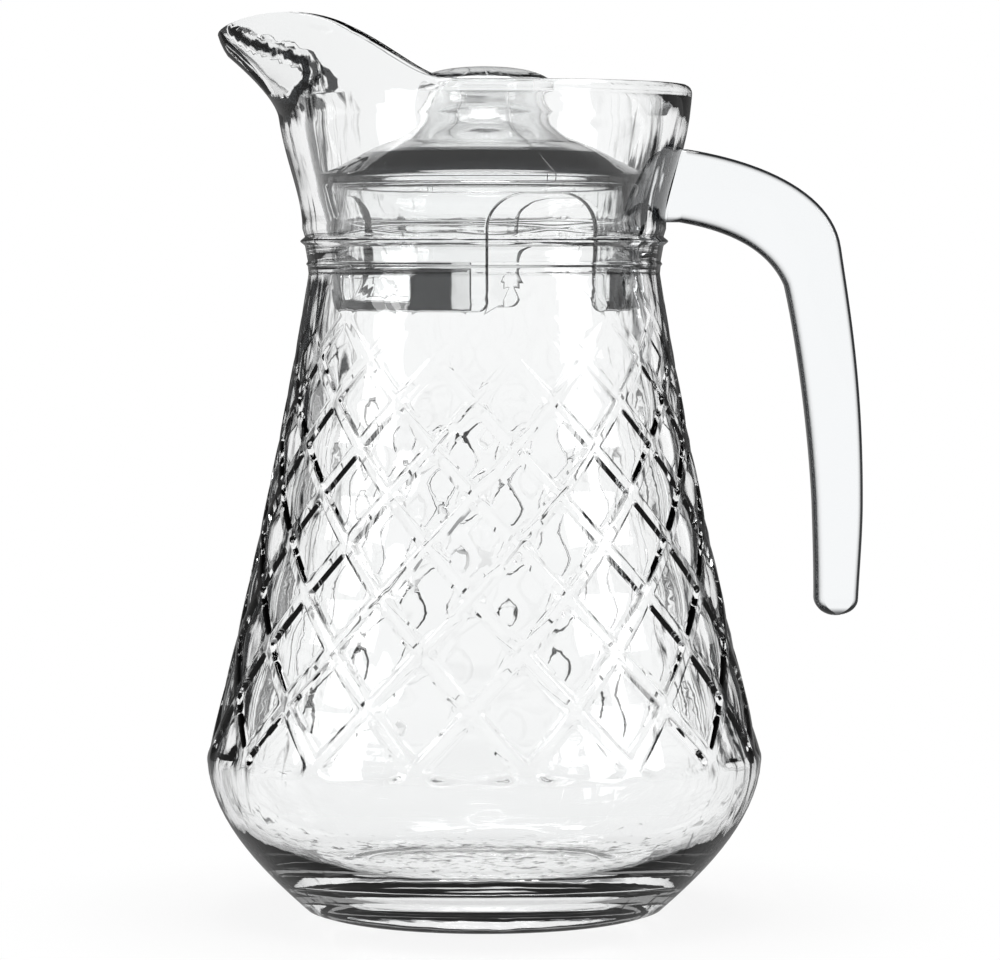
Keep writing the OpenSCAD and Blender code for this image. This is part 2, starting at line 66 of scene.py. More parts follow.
# Section of a ring, as shares of how proud it stands and of its band's height
RING_SHARES = ((0, -0.5), (0.5, -0.3), (1, -0.07), (1, 0.07), (0.5, 0.3), (0, 0.5))

# Diamond lattice pressed into the outside
CELLS_ROUND = 16
CELL_ANGLE = 360 * DEG / CELLS_ROUND
FIRST_COLUMN = -81.3 * DEG
LOWEST_NODES_Z, HIGHEST_NODES_Z = 47.2 * MM, 178.4 * MM
ROW_RATIO = 0.957
ROW_COUNT = 10
LATTICE_FOOT_Z = 43.6 * MM
RECESS_DEPTH = 0.95 * MM
RIB_SHARE, MOAT_SHARE = 0.062, 0.125
PILLOW_SHARE = 0.9
# The panels get shallower towards the waist: first row, number of rows and what is left of their depth
FADE_START_ROW, FADE_ROWS, TOP_RECESS_SHARE = 0.55 * ROW_COUNT, 0.38 * ROW_COUNT, 0.05
# Places of the mesh lines across half a cell, as shares of the cell
HALF_CELL_SHARES = (0, 0.035, 0.062, 0.093, 0.125, 0.175, 0.255, 0.37, 0.5)

# Spout
SPOUT_REACH, SPOUT_RISE, LIP_DROP = 16.3 * MM, 19.3 * MM, 5.6 * MM
LIP_HALF_W, LIP_H, LIP_BACK = 13 * MM, 5.9 * MM, 2.8 * MM
RISE_START, RISE_END_SHARE = 9 * MM, 0.68
# How far the rim's edge is pulled straight on into the beak, how steeply, and how far it sags before the tip, as shares
BEAK_PULL, BEAK_CLIMB, BEAK_SAG = 1.35, 0.4, 0.45
BLUNT_ANGLE = 50 * DEG
SPOUT_CROWDING = 0.45
# Curves between mouth and rim: height of the outer knee, radius and height of the inner one, as shares, and their pull
OUTER_KNEE, INNER_KNEE, KNEE_PULL = 0.62, (0.8, 0.78), 0.66
# Section of the blunt lip, from outside to inside, as shares of how far its underside lies back and of its height
LIP_EDGE_SHARES = ((-1, -1), (-0.62, -0.72), (-0.25, -0.35), (0, 0), (-0.6, -0.12), (-1.3, -0.38))

# Numbers of mesh rows, and of steps along the lines that they are taken from
LATTICE_FOOT_ROWS, BOWL_ROWS, NECK_ROWS, RIM_OUT_ROWS, RIM_EDGE_ROWS, RIM_IN_ROWS = 4, 16, 20, 20, 10, 14
NECK_IN_ROWS, SIDE_ROWS, FLOOR_ROWS, CROWDED_ROWS = 16, 24, 16, 24
SIDE_STEPS, FLARE_STEPS, RISE_STEPS, BEAK_STEPS = 80, 60, 100, 60

# Handle
HANDLE_X, HANDLE_TOP_Z, HANDLE_END_Z = 105.8 * MM, 214.5 * MM, 83.2 * MM
HANDLE_W, HANDLE_ROOT_W, HANDLE_TIP = 13.5 * MM, 19 * MM, 5 * MM
HANDLE_OUTER_ROUND, HANDLE_INNER_ROUND, HANDLE_ROUND_MOST = 2.2 * MM, 3.4 * MM, 0.95
HANDLE_ROWS, ROOT_FADE, ROOT_FACE_SHARES = 26, 4.5, (0.75, 0.5, 0.25)
TIP_ROWS, TIP_TURN = 9, 9.6 * DEG
ROOT_CLEAR = 0.4 * MM
WELD_GAP = 0.02 * MM

# Lid
LID_GAP, LID_WALL = 0.3 * MM, 2 * MM
FLANGE_Z, FLANGE_T = 204.7 * MM, 1.9 * MM
SKIRT_R, LEG_Z = 41.4 * MM, 168.6 * MM
KNOB_Z, KNOB_H, KNOB_R, KNOB_NECK_R = 226.3 * MM, 7.6 * MM, 19.3 * MM, 15.7 * MM
KNOB_CROWN, KNOB_EDGE, KNOB_TOP_T = 2.8 * MM, 1.8 * MM, 3 * MM
ARCH_COUNT, ARCH_TURN = 3, -66.5 * DEG
ARCH_HALF_W, ARCH_Z, ARCH_CORNER, LEG_CORNER = 15.3 * MM, 201.6 * MM, 10.5 * MM, 2.6 * MM
MOULD_EDGE = 0.34 * MM
KNOB_ROUND, FLANGE_ROUND, HOLLOW_ROUND = (1.5 * MM, 5), (0.6 * MM, 4), (1 * MM, 3)
CROWN_STEPS, DOME_NECK_STEPS, DOME_SIDE_STEPS = 14, 14, 16
SKIRT_START, HOLLOW_CLEAR = 1 * MM, 0.5 * MM
PAD_ROUND, POCKET_ROUND, WINDOW_ROUND = (0.6 * MM, 4), (0.5 * MM, 3), (2 * MM, 6)
POCKET_WALL, POCKET_CLEAR = 1.5 * MM, 1 * MM
# Which edges of pads and windows are rounded: angle, distance outside the skirt and length
PAD_SHARP, PAD_CLEAR, POCKET_SHARP, RADIAL_MIN = 60 * DEG, 0.3 * MM, 50 * DEG, 1.8 * MM
PAD_PROUD, PAD_STEP, PAD_H, PAD_LIFT, PAD_INSET = 2 * MM, 0.8 * MM, 12.4 * MM, 0.4 * MM, 4.6 * MM
PAD_SHARES, PAD_STEPS = ((0, 1), (0.7, 1), (0.87, 0), (1, 0)), 48
WINDOW_SHARES, WINDOW_LOW, WINDOW_H, WINDOW_MARGIN = (0.12, 0.66), 2.2 * MM, 8 * MM, 0.4 * MM
# Steps along the five parts of half an arch's outline, and rows of the skirt
ARCH_STEPS, SKIRT_ROWS = (14, 6, 14, 14, 4), 12

# Control points of the outlines, as shares of the spans that they follow
BOWL_SHARES = ((0, 0), (0.355, 0.212), (0.957, 0.57), (1, 1))
SIDE_SHARES = ((0, 0), (0.347, 0.27), (0.775, 0.704), (1, 1))
FLARE_SHARES = ((0, 0), (0, 0.287), (1, 0.561), (1, 1))
FLOOR_SHARES = ((0, 0), (0.54, 0), (1, 0.49), (1, 1))
RISE_SHARES = ((0, 0), (0.21, 0), (0.53, 1), (1, 1))
CROWN_SHARES = ((0, 1), (0.45, 1), (0.85, 0.75), (1, 0))
DOME_NECK_SHARES = ((0, 1), (0.006, 0.724), (0.153, 0.638), (0.361, 0.533))
DOME_SIDE_SHARES = ((0.361, 0.533), (0.569, 0.432), (0.776, 0.231), (0.974, 0.045))
HANDLE_OUT_SHARES = (
    ((-0.077, 1), (0.35, 0.984), (0.83, 0.92), (0.88, 0.785)),
    ((0.88, 0.785), (0.93, 0.65), (1, 0.497), (1, 0.244)),
    ((1, 0.244), (1, 0.175), (0.985, 0.106), (0.977, 0.038)),
)
HANDLE_IN_SHARES = (
    ((-0.077, 0.845), (0.27, 0.83), (0.502, 0.785), (0.589, 0.704)),
    ((0.589, 0.704), (0.633, 0.63), (0.714, 0.433), (0.739, 0.244)),
    ((0.739, 0.244), (0.745, 0.175), (0.751, 0.106), (0.751, 0.038)),
)


def mix(a, b, share):
    return a + (b - a) * share


def ease(share):
    share = min(max(share, 0), 1)
    return share * share * (3 - 2 * share)


def polar(radius, angle, z):
    return Vector((radius * math.cos(angle), radius * math.sin(angle), z))


def bezier(points, share):
    a, b, c, d = (Vector(p) for p in points)
    rest = 1 - share
    return a * rest**3 + b * (3 * share * rest**2) + c * (3 * share**2 * rest) + d * share**3


def curve(shares, start, end, steps):
    """Points of a curve whose control points are shares of the way from start to end."""
    control = [(mix(start[0], end[0], x), mix(start[1], end[1], y)) for x, y in shares]
    return [bezier(control, i / steps) for i in range(steps + 1)]


def rounded(points, radius, steps):
    """The line of points with each inner corner replaced by a short curve that starts radius before it."""
    line = [Vector(points[0])]
    for before, corner, after in zip(points, points[1:], points[2:]):
        before, corner, after = Vector(before), Vector(corner), Vector(after)
        back = min(radius, (before - corner).length / 2)
        ahead = min(radius, (after - corner).length / 2)
        first = corner + (before - corner).normalized() * back
        last = corner + (after - corner).normalized() * ahead
        for i in range(steps + 1):
            share = i / steps
            line.append(mix(mix(first, corner, share), mix(corner, last, share), share))
    line.append(Vector(points[-1]))
    return line


def mesh_of(name, bm):
    mesh = bpy.data.meshes.new(name)
    bm.to_mesh(mesh)
    bm.free()
    return mesh


def linked(name, data):
    """Puts a new object into the scene."""
    thing = bpy.data.objects.new(name, data)
    bpy.context.scene.collection.objects.link(thing)
    return thing


def finished(name, bm, material, body, shade=None, sharp=40 * DEG):
    """Makes the mesh a piece that rides on its body, smooth but for edges sharper than the given angle.

    Each point's value of shade is kept as the attribute `edge`: painted shade, by which the clear materials darken.
    Slivers that a cut left open are closed."""
    bmesh.ops.remove_doubles(bm, verts=bm.verts, dist=0.001 * MM)
    bmesh.ops.holes_fill(bm, edges=[edge for edge in bm.edges if edge.is_boundary], sides=4)
    if shade:
        painted = bm.verts.layers.float.new("edge")
        for vert in bm.verts:
            vert[painted] = shade(vert.co)
    bmesh.ops.recalc_face_normals(bm, faces=bm.faces)
    for face in bm.faces:
        face.smooth = True
    for edge in bm.edges:
        edge.smooth = edge.calc_face_angle(0) < sharp
    piece = linked(name, mesh_of(name, bm))
    piece.data.materials.append(material)
    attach(piece, body)
    return piece


def radius_at_height(*line):
    radii, heights = np.array([tuple(p) for p in curve(*line)]).T
    return lambda z: float(np.interp(z, heights, radii))


side_start = (WIDEST_R, mix(WIDEST_Z, WAIST_Z, 0.01))
side_radius = radius_at_height(SIDE_SHARES, side_start, (WAIST_R, WAIST_Z), SIDE_STEPS)
flare_radius = radius_at_height(FLARE_SHARES, (NECK_R, NECK_Z), (RIM_R, RIM_Z), FLARE_STEPS)


def neck_inner_radius(z):
    return mix(THROAT_R, MOUTH_R, (z - THROAT_TOP) / (MOUTH_Z - THROAT_TOP))


FLANGE_R = neck_inner_radius(FLANGE_Z) - LID_GAP

# Heights of the lattice's rows of crossings, closer together towards the waist
row_shares = [(1 - ROW_RATIO**i) / (1 - ROW_RATIO**ROW_COUNT) for i in range(ROW_COUNT + 1)]
row_heights = [mix(LOWEST_NODES_Z, HIGHEST_NODES_Z, share) for share in row_shares]


def row_at(z):
    if z < LOWEST_NODES_Z:
        return (z - LOWEST_NODES_Z) / (row_heights[1] - row_heights[0])
    return float(np.interp(z, row_heights, range(ROW_COUNT + 1)))


def recess(turns, row, z):
    """Depth of the pressed pattern, `turns` cells round from the first column of crossings and `row` rows up."""
    across = [abs(line - round(line)) for line in (turns + row / 2, turns - row / 2)]
    top = (ROW_COUNT - row) / 2 + RIB_SHARE
    foot = (z - LATTICE_FOOT_Z) / (LOWEST_NODES_Z - LATTICE_FOOT_Z)
    sunk = ease(top / MOAT_SHARE / 2) * ease(foot)
    swell = 1
    for share in across:
        sunk *= ease((share - RIB_SHARE) / (MOAT_SHARE - RIB_SHARE))
        swell *= ease((share - MOAT_SHARE) / (0.5 - MOAT_SHARE))
    shallow = mix(1, TOP_RECESS_SHARE, ease((row - FADE_START_ROW) / FADE_ROWS))
    return RECESS_DEPTH * shallow * sunk * (1 - PILLOW_SHARE * math.sqrt(swell))


def skin_point(angle, z, row=None):
    row = row_at(z) if row is None else row
    turns = (angle - FIRST_COLUMN) / CELL_ANGLE
    return polar(side_radius(z) - recess(turns, row, z), angle, z)


def lattice_skin(bm):
    """The diamonds, one small grid each, laid in a sheet whose axes follow the two directions of the ribs."""
    steps = 2 * (len(HALF_CELL_SHARES) - 1)
    places = HALF_CELL_SHARES + tuple(1 - s for s in reversed(HALF_CELL_SHARES[:-1]))
    for row in range(ROW_COUNT + 1):
        for column in range(CELLS_ROUND):
            middle = Matrix.Translation((column + row // 2 + 0.5, column - (row + 1) // 2 + 0.5, 0))
            bmesh.ops.create_grid(bm, x_segments=steps, y_segments=steps, size=0.5, matrix=middle)
    for row, outward in ((0, -1), (ROW_COUNT, 1)):
        geometry = bm.verts[:] + bm.edges[:] + bm.faces[:]
        way = (outward, -outward, 0)
        bmesh.ops.bisect_plane(bm, geom=geometry, dist=1e-5, plane_co=(row, 0, 0), plane_no=way, clear_outer=True)

    def placed(share):
        whole = math.floor(share + 1e-4)
        return whole + float(np.interp((share - whole) * steps, range(steps + 1), places))

    for vert in bm.verts:
        a, b = placed(vert.co.x), placed(vert.co.y)
        row = min(max(a - b, 0), ROW_COUNT)
        angle = FIRST_COLUMN + CELL_ANGLE * (a + b) / 2
        z = float(np.interp(row, range(ROW_COUNT + 1), row_heights))
        vert.co = skin_point(angle, z, row)
    bmesh.ops.remove_doubles(bm, verts=bm.verts, dist=0.005 * MM)


def sleeve(bm, rows):
    """Lays a sheet round the axis: each row is a closed line of places, all with the same number of them."""
    around, along = len(rows[0]), len(rows) - 1
    sheet = bmesh.ops.create_grid(bm, x_segments=around, y_segments=along, size=0.5)["verts"]
    for vert in sheet:
        column = round((vert.co.x + 0.5) * around)
        row = round((vert.co.y + 0.5) * along)
        vert.co = rows[row][column % around]


def turned(angles, line):
    """Rows of a turned surface from its line of radii and heights."""
    return [[polar(radius, angle, z) for angle in angles] for radius, z in line]


# Edge of the rim from above, as angle from the spout's direction, distance from the axis and height
rise_line = curve(RISE_SHARES, (RISE_START, RIM_Z), (RIM_R, RIM_Z + SPOUT_RISE), RISE_STEPS)
rise_line = rise_line[: int(RISE_STEPS * RISE_END_SHARE) + 1]
rise_last = rise_line[-1]
rise_last_y = math.sqrt(RIM_R**2 - rise_last[0] ** 2)
tip_x = RIM_R + SPOUT_REACH
beak_start = Vector((rise_last[0], rise_last_y, rise_last[1]))
beak = (
    beak_start,
    beak_start + SPOUT_REACH * BEAK_PULL * Vector((rise_last_y / RIM_R, -rise_last[0] / RIM_R, BEAK_CLIMB)),
    Vector((tip_x, LIP_HALF_W, RIM_Z + SPOUT_RISE - LIP_DROP * BEAK_SAG)),
    Vector((tip_x, 0, RIM_Z + SPOUT_RISE - LIP_DROP)),
)
rim_edge = [bezier(beak, 1 - i / BEAK_STEPS) for i in range(BEAK_STEPS + 1)]
rim_edge += [Vector((p[0], math.sqrt(RIM_R**2 - p[0] ** 2), p[1])) for p in reversed(rise_line[:-1])]
rim_angles = [math.atan2(p.y, p.x) for p in rim_edge]
rim_radii = [math.hypot(p.x, p.y) for p in rim_edge]
rim_heights = [p.z for p in rim_edge]


def from_spout(angle):
    """Angle from the spout's direction, between minus and plus half a turn."""
    return math.remainder(angle - math.pi, 2 * math.pi)


def crowded(angle, share):
    """The angle, drawn towards the spout so that the beak has more mesh lines."""
    side = from_spout(angle)
    return math.pi + side - share * SPOUT_CROWDING * math.sin(side)


def rim_corner(angle):
    side = abs(from_spout(angle))
    radius = float(np.interp(side, rim_angles, rim_radii))
    return Vector((radius, float(np.interp(side, rim_angles, rim_heights))))


def edge_point(angle, share):
    """Point of the rim's rounded edge, from outside at 0 to inside at 1, as radius and height."""
    corner = rim_corner(angle)
    half_turn = math.pi * share
    plain = Vector((math.cos(half_turn) - 1, math.sin(half_turn) - 1)) * (RIM_T / 2)
    places = range(len(LIP_EDGE_SHARES))
    back, down = (float(np.interp(share * places[-1], places, column)) for column in zip(*LIP_EDGE_SHARES))
    lip = Vector((LIP_BACK * back, LIP_H * down))
    blunt = ease(1 - abs(from_spout(angle)) / BLUNT_ANGLE)
    return corner + plain.lerp(lip, blunt)


def rim_rows():
    """One function for each row of the rim and spout, from the mouth's outside over the edge to its inside."""
    def outside(share):
        def point(angle):
            edge = edge_point(angle, 0)
            start = Vector((flare_radius(MOUTH_Z), MOUTH_Z))
            knee = Vector((RIM_R, mix(MOUTH_Z, RIM_Z, OUTER_KNEE)))
            return bezier((start, start.lerp(knee, KNEE_PULL), edge.lerp(knee, KNEE_PULL), edge), share)
        return point

    def inside(share):
        def point(angle):
            edge = edge_point(angle, 1)
            end = Vector((MOUTH_R, MOUTH_Z))
            knee = Vector((mix(MOUTH_R, RIM_R - RIM_T, INNER_KNEE[0]), mix(MOUTH_Z, RIM_Z, INNER_KNEE[1])))
            return bezier((edge, edge.lerp(knee, KNEE_PULL), end.lerp(knee, KNEE_PULL), end), share)
        return point

    rows = [outside(i / RIM_OUT_ROWS) for i in range(1, RIM_OUT_ROWS)]
    rows += [lambda angle, share=i / RIM_EDGE_ROWS: edge_point(angle, share) for i in range(RIM_EDGE_ROWS + 1)]
    rows += [inside(i / RIM_IN_ROWS) for i in range(1, RIM_IN_ROWS + 1)]
    return rows


def round_axis(angles, section, share):
    """A row whose radius and height follow from the angle, drawn towards the spout by a share."""
    row = []
    for angle in angles:
        turn = crowded(angle, share)
        radius, z = section(turn)
        row.append(polar(radius, turn, z))
    return row


def ring_section(ring):
    z, radius, proud, height = ring
    return [(radius + proud * x, z + height * y) for x, y in RING_SHARES]


def ledge_wave(angle, z):
    """Rise and fall of the ledge at the throat's upper end, where the plunger left the soft glass uneven."""
    share = max(0, 1 - abs(z - THROAT_TOP) / LEDGE_REACH)
    return THROAT_WAVE * share * sum(part * math.sin(count * angle + phase) for part, count, phase in LEDGE_WAVES)


def boundary(bm, low):
    """The lattice's lower or upper edge as places in order round the axis, and their angles."""
    middle = (LOWEST_NODES_Z + HIGHEST_NODES_Z) / 2
    verts = [v for v in bm.verts if v.is_boundary and (v.co.z < middle) == low]
    verts.sort(key=lambda vert: math.atan2(vert.co.y, vert.co.x))
    return [v.co.copy() for v in verts], [math.atan2(v.co.y, v.co.x) for v in verts]


def pitcher_mesh():
    bm = bmesh.new()
    lattice_skin(bm)
    low, low_angles = boundary(bm, True)
    high, angles = boundary(bm, False)

    heights = [mix(LOWEST_NODES_Z, LATTICE_FOOT_Z, i / LATTICE_FOOT_ROWS) for i in range(1, LATTICE_FOOT_ROWS + 1)]
    rows = [low] + [[skin_point(angle, z) for angle in low_angles] for z in heights]
    bowl = curve(BOWL_SHARES, (FOOT_R, FOOT_EDGE), (WIDEST_R, WIDEST_Z), BOWL_ROWS)
    punt = [Vector((REST_INNER_R * share, PUNT_DEPTH)) for share in (*PUNT_SHARES, 0)]
    foot = rounded([bowl[0], (REST_OUTER_R, 0), (REST_INNER_R, 0), *punt[:2]], *FOOT_ROUND)
    base = bowl[:0:-1] + foot + punt[2:]
    sleeve(bm, rows + turned(low_angles, base))

    waist = [(side_radius(HIGHEST_NODES_Z), HIGHEST_NODES_Z), (WAIST_R, WAIST_Z)]
    waist += ring_section(LOW_RING) + ring_section(TOP_RING) + [(NECK_R, NECK_Z)]
    rows = [high] + turned(angles, rounded(waist, *RING_ROUND)[1:])
    for i in range(1, NECK_ROWS + 1):
        z = mix(NECK_Z, MOUTH_Z, i / NECK_ROWS)
        rows.append(round_axis(angles, lambda turn: (flare_radius(z), z), ease(i / NECK_ROWS)))
    rows += [round_axis(angles, section, 1) for section in rim_rows()]
    mouth, ledge_top = Vector((MOUTH_R, MOUTH_Z)), Vector((THROAT_R + THROAT_LEDGE, THROAT_TOP))
    neck = [mix(mouth, ledge_top, i / NECK_IN_ROWS) for i in range(1, NECK_IN_ROWS)]
    ledge = [neck[-1], ledge_top, (THROAT_R, THROAT_TOP - THROAT_LEDGE), (THROAT_R, THROAT_TOP - THROAT_STRAIGHT)]
    throat = [ledge[-1], (THROAT_R, THROAT_LOW), (WAIST_R - WALL, WAIST_Z - WALL)]
    inner = neck[:-1] + rounded(ledge, *LEDGE_ROUND)[:-1] + rounded(throat, *THROAT_ROUND)[:-1]
    side = curve(SIDE_SHARES, (WIDEST_R - WALL, WIDEST_Z + WALL / 2), (WAIST_R - WALL, WAIST_Z - WALL), SIDE_ROWS)
    floor = curve(FLOOR_SHARES, (FLOOR_R, FLOOR_T), (WIDEST_R - WALL, WIDEST_Z), FLOOR_ROWS)
    inner += side[::-1] + floor[::-1] + [Vector((FLOOR_R * share, FLOOR_T)) for share in FLOOR_MIDDLE_SHARES]
    for i, (radius, z) in enumerate(inner):
        rows.append(round_axis(angles, lambda turn: (radius, z + ledge_wave(turn, z)), ease(1 - i / CROWDED_ROWS)))
    sleeve(bm, rows)
    return bm


def handle_edge(chain):
    """One edge of the handle from its root to its lower end, as distance from the axis and height."""
    root = (flare_radius(mix(NECK_Z, HANDLE_TOP_Z, 0.5)), HANDLE_END_Z)
    parts = [curve(shares, root, (HANDLE_X, HANDLE_TOP_Z), HANDLE_ROWS) for shares in chain]
    return parts[0] + [point for part in parts[1:] for point in part[1:]]


def strap_section(outer, inner, width, steps=6):
    """Cross-section of the strap: flat sides, small round corners outside and larger ones inside."""
    middle, half = (outer + inner) / 2, (outer - inner) / 2
    depth = half.length
    out = half.normalized()
    points = []
    for x_side, y_side, start in ((1, 1, 0), (-1, 1, 90), (-1, -1, 180), (1, -1, 270)):
        radius = HANDLE_OUTER_ROUND if x_side > 0 else HANDLE_INNER_ROUND
        radius = min(radius, depth * HANDLE_ROUND_MOST, width / 2 * HANDLE_ROUND_MOST)
        for i in range(steps + 1):
            angle = (start + 90 * i / steps) * DEG
            along = x_side * (depth - radius) + radius * math.cos(angle)
            y = y_side * (width / 2 - radius) + radius * math.sin(angle)
            place = middle + out * along
            points.append(Vector((place[0], y, place[1])))
    return points


def on_neck(point, gap=WELD_GAP):
    radius = flare_radius(point.z) + gap
    return Vector((math.sqrt(radius**2 - point.y**2), point.y, point.z))


def next_ring(bm, edges):
    """Extrudes a closed line of edges and gives the new edges and their points, in order."""
    made = bmesh.ops.extrude_edge_only(bm, edges=edges)["geom"]
    ring = [e for e in made if isinstance(e, bmesh.types.BMEdge) and e.is_boundary]
    return ring, [v for v in made if isinstance(v, bmesh.types.BMVert)]


def handle_mesh():
    outer, inner = handle_edge(HANDLE_OUT_SHARES), handle_edge(HANDLE_IN_SHARES)
    sections = []
    for i, (out_point, in_point) in enumerate(zip(outer, inner)):
        spread = ease(1 - ROOT_FADE * i / len(outer))
        sections.append(strap_section(out_point, in_point, mix(HANDLE_W, HANDLE_ROOT_W, spread)))
    middle = (outer[-1] + inner[-1]) / 2
    for i in range(1, TIP_ROWS + 1):
        turn = TIP_TURN * i
        drop = Vector((0, HANDLE_TIP * math.sin(turn)))
        ends = [middle.lerp(end, math.cos(turn)) - drop for end in (outer[-1], inner[-1])]
        sections.append(strap_section(*ends, HANDLE_W * math.cos(turn)))
    first = next(i for i, s in enumerate(sections) if min(p.x - on_neck(p).x for p in s) > ROOT_CLEAR)
    sections = sections[first:]
    root = [on_neck(p) for p in sections[0]]
    centre = sum(root, Vector()) / len(root)
    bm = bmesh.new()
    painted = bm.verts.layers.float.new("edge")
    corner = len(root) // 4
    ring = bmesh.ops.create_circle(bm, segments=len(root), radius=HANDLE_W)
    for vert, place in zip(ring["verts"], root):
        vert.co = place
    start = edges = bm.edges[:]
    for section in sections:
        edges, verts = next_ring(bm, edges)
        for i, (vert, place) in enumerate(zip(verts, section)):
            vert.co = place
            # Painted shade on the round corners, which outlines the strap
            vert[painted] = 0 < i % corner < corner - 1  # the round corners outline the strap
    bmesh.ops.contextual_create(bm, geom=edges)
    edges = start
    for share in ROOT_FACE_SHARES:
        edges, verts = next_ring(bm, edges)
        for vert, place in zip(verts, root):
            vert.co = on_neck(centre.lerp(place, share))
    bmesh.ops.contextual_create(bm, geom=edges)
    return bm


sector = math.pi / ARCH_COUNT
leg_side, arch_h = ARCH_HALF_W + LEG_CORNER, ARCH_Z - LEG_Z
# Where the lines from the ends of an arch's five parts start at the flange, as angles from the arch's middle
fan = [share * sector for share in (1, 0.7, 0.62, 0.375, 0.12, 0)]


def arch_line():
    """Half an arch's outline, from the leg's middle to the arch's. For each point: place beside the arch's middle
    plane, share of the leg's flat end, direction into the plastic and angle at which its line starts at the flange."""
    leg, foot, side, bend, top = ARCH_STEPS
    line = []
    for i in range(leg):
        line.append((None, i / leg, Vector((0, 1)), mix(fan[0], fan[1], i / leg)))
    for i in range(foot + 1):
        turn = (270 - 90 * i / foot) * DEG
        way = Vector((math.cos(turn), math.sin(turn)))
        at = Vector((leg_side, LEG_CORNER)) + way * LEG_CORNER
        line.append((at, 0, -way, mix(fan[1], fan[2], i / foot)))
    start, end = LEG_CORNER, arch_h - ARCH_CORNER
    for i in range(1, side + 1):
        at = Vector((ARCH_HALF_W, mix(start, end, i / side)))
        line.append((at, 0, Vector((1, 0)), mix(fan[2], fan[3], i / side)))
    for i in range(1, bend + 1):
        turn = 90 * DEG * i / bend
        way = Vector((math.cos(turn), math.sin(turn)))
        at = Vector((ARCH_HALF_W - ARCH_CORNER, end)) + way * ARCH_CORNER
        line.append((at, 0, way, mix(fan[3], fan[4], i / bend)))
    for i in range(1, top + 1):
        at = Vector((mix(ARCH_HALF_W - ARCH_CORNER, 0, i / top), arch_h))
        line.append((at, 0, Vector((0, 1)), mix(fan[4], fan[5], i / top)))
    return line


def lid_columns():
    """All columns round the lid: turn of the arch, side of the arch and point of its outline."""
    half = arch_line()
    columns = []
    for arch in range(ARCH_COUNT):
        turn = ARCH_TURN + 2 * sector * arch
        columns += [(turn, -1, point) for point in half]
        columns += [(turn, 1, point) for point in half[-2:0:-1]]
    return columns


def leg_edge(column, radius, inset):
    """Place on the lower edge of the skirt, moved into the plastic by inset."""
    turn, side, (at, share, inward, _) = column
    if at is None:
        angle = mix(sector, math.asin(leg_side / radius), share)
        height = inset
    else:
        at = at + inward * inset
        angle = math.asin(at.x / radius)
        height = at.y
    return turn + side * angle, LEG_Z + height


def flange_angle(column):
    turn, side, point = column
    return turn + side * point[3]


def lid_profile():
    """Outer and inner line of the turned part, from the crown to the flange and from the skirt to the hollow's top."""
    top = KNOB_Z + KNOB_H
    rim = (neck_inner_radius(FLANGE_Z + FLANGE_T) - LID_GAP, FLANGE_Z + FLANGE_T)
    corner, far = (KNOB_NECK_R, rim[1]), (rim[0], KNOB_Z)
    crown = curve(CROWN_SHARES, (0, top - KNOB_EDGE), (KNOB_R, top + KNOB_CROWN), CROWN_STEPS)
    dome = curve(DOME_NECK_SHARES, corner, far, DOME_NECK_STEPS)[1:]
    dome += curve(DOME_SIDE_SHARES, corner, far, DOME_SIDE_STEPS)[1:]
    knob = [crown[-1], (KNOB_R, KNOB_Z + KNOB_EDGE), (KNOB_R, KNOB_Z), (KNOB_NECK_R, KNOB_Z), dome[0]]
    flange = [dome[-1], rim, (FLANGE_R, FLANGE_Z), (SKIRT_R, FLANGE_Z), (SKIRT_R, FLANGE_Z - SKIRT_START)]
    outer = crown[:-1] + rounded(knob, *KNOB_ROUND)[:-1] + dome[:-1] + rounded(flange, *FLANGE_ROUND)
    inner_r = SKIRT_R - LID_WALL
    hollow = []
    for before, at, after in zip(dome, dome[1:], dome[2:]):
        along = (after - before).normalized()
        hollow.append(at + Vector((along.y, -along.x)) * LID_WALL)
    knob_hollow = (KNOB_NECK_R - LID_WALL, top - KNOB_TOP_T)
    hollow = [p for p in hollow if knob_hollow[0] < p.x < inner_r - HOLLOW_CLEAR and p.y < KNOB_Z - HOLLOW_CLEAR]
    inner = [(inner_r, FLANGE_Z - SKIRT_START), (inner_r, hollow[-1].y - HOLLOW_ROUND[0])] + hollow[::-1]
    inner += [(knob_hollow[0], KNOB_Z), knob_hollow, (0, knob_hollow[1])]
    return outer, rounded(inner, *HOLLOW_ROUND)


def lid_shell():
    """The lid without its pads: turned cover, then the skirt with its arches, its rounded edges and its inside."""
    columns = lid_columns()
    outer, inner = lid_profile()
    rows = [[polar(r, flange_angle(c), z) for c in columns] for r, z in outer]
    inner_r = SKIRT_R - LID_WALL

    def sheet(radius, start_z, shares):
        for share in shares:
            row = []
            for column in columns:
                angle, z = leg_edge(column, radius, MOULD_EDGE)
                row.append(polar(radius, mix(flange_angle(column), angle, share), mix(start_z, z, share)))
            rows.append(row)

    sheet(SKIRT_R, outer[-1][1], [i / SKIRT_ROWS for i in range(1, SKIRT_ROWS + 1)])
    for radius, way, turns in ((SKIRT_R, -1, (30, 60, 90)), (inner_r, 1, (90, 60, 30))):
        for turn in turns:
            depth = radius + way * MOULD_EDGE * (1 - math.cos(turn * DEG))
            inset = MOULD_EDGE * (1 - math.sin(turn * DEG))
            rows.append([polar(depth, *leg_edge(column, depth, inset)) for column in columns])
    sheet(inner_r, inner[0][1], [1 - i / SKIRT_ROWS for i in range(SKIRT_ROWS + 1)])
    rows += [[polar(r, flange_angle(c), z) for c in columns] for r, z in inner[1:]]

    bm = bmesh.new()
    sleeve(bm, rows)
    return bm


leg_angle = 2 * (sector - math.asin(ARCH_HALF_W / SKIRT_R))
inset_angle = 2 * math.asin(PAD_INSET / 2 / SKIRT_R)


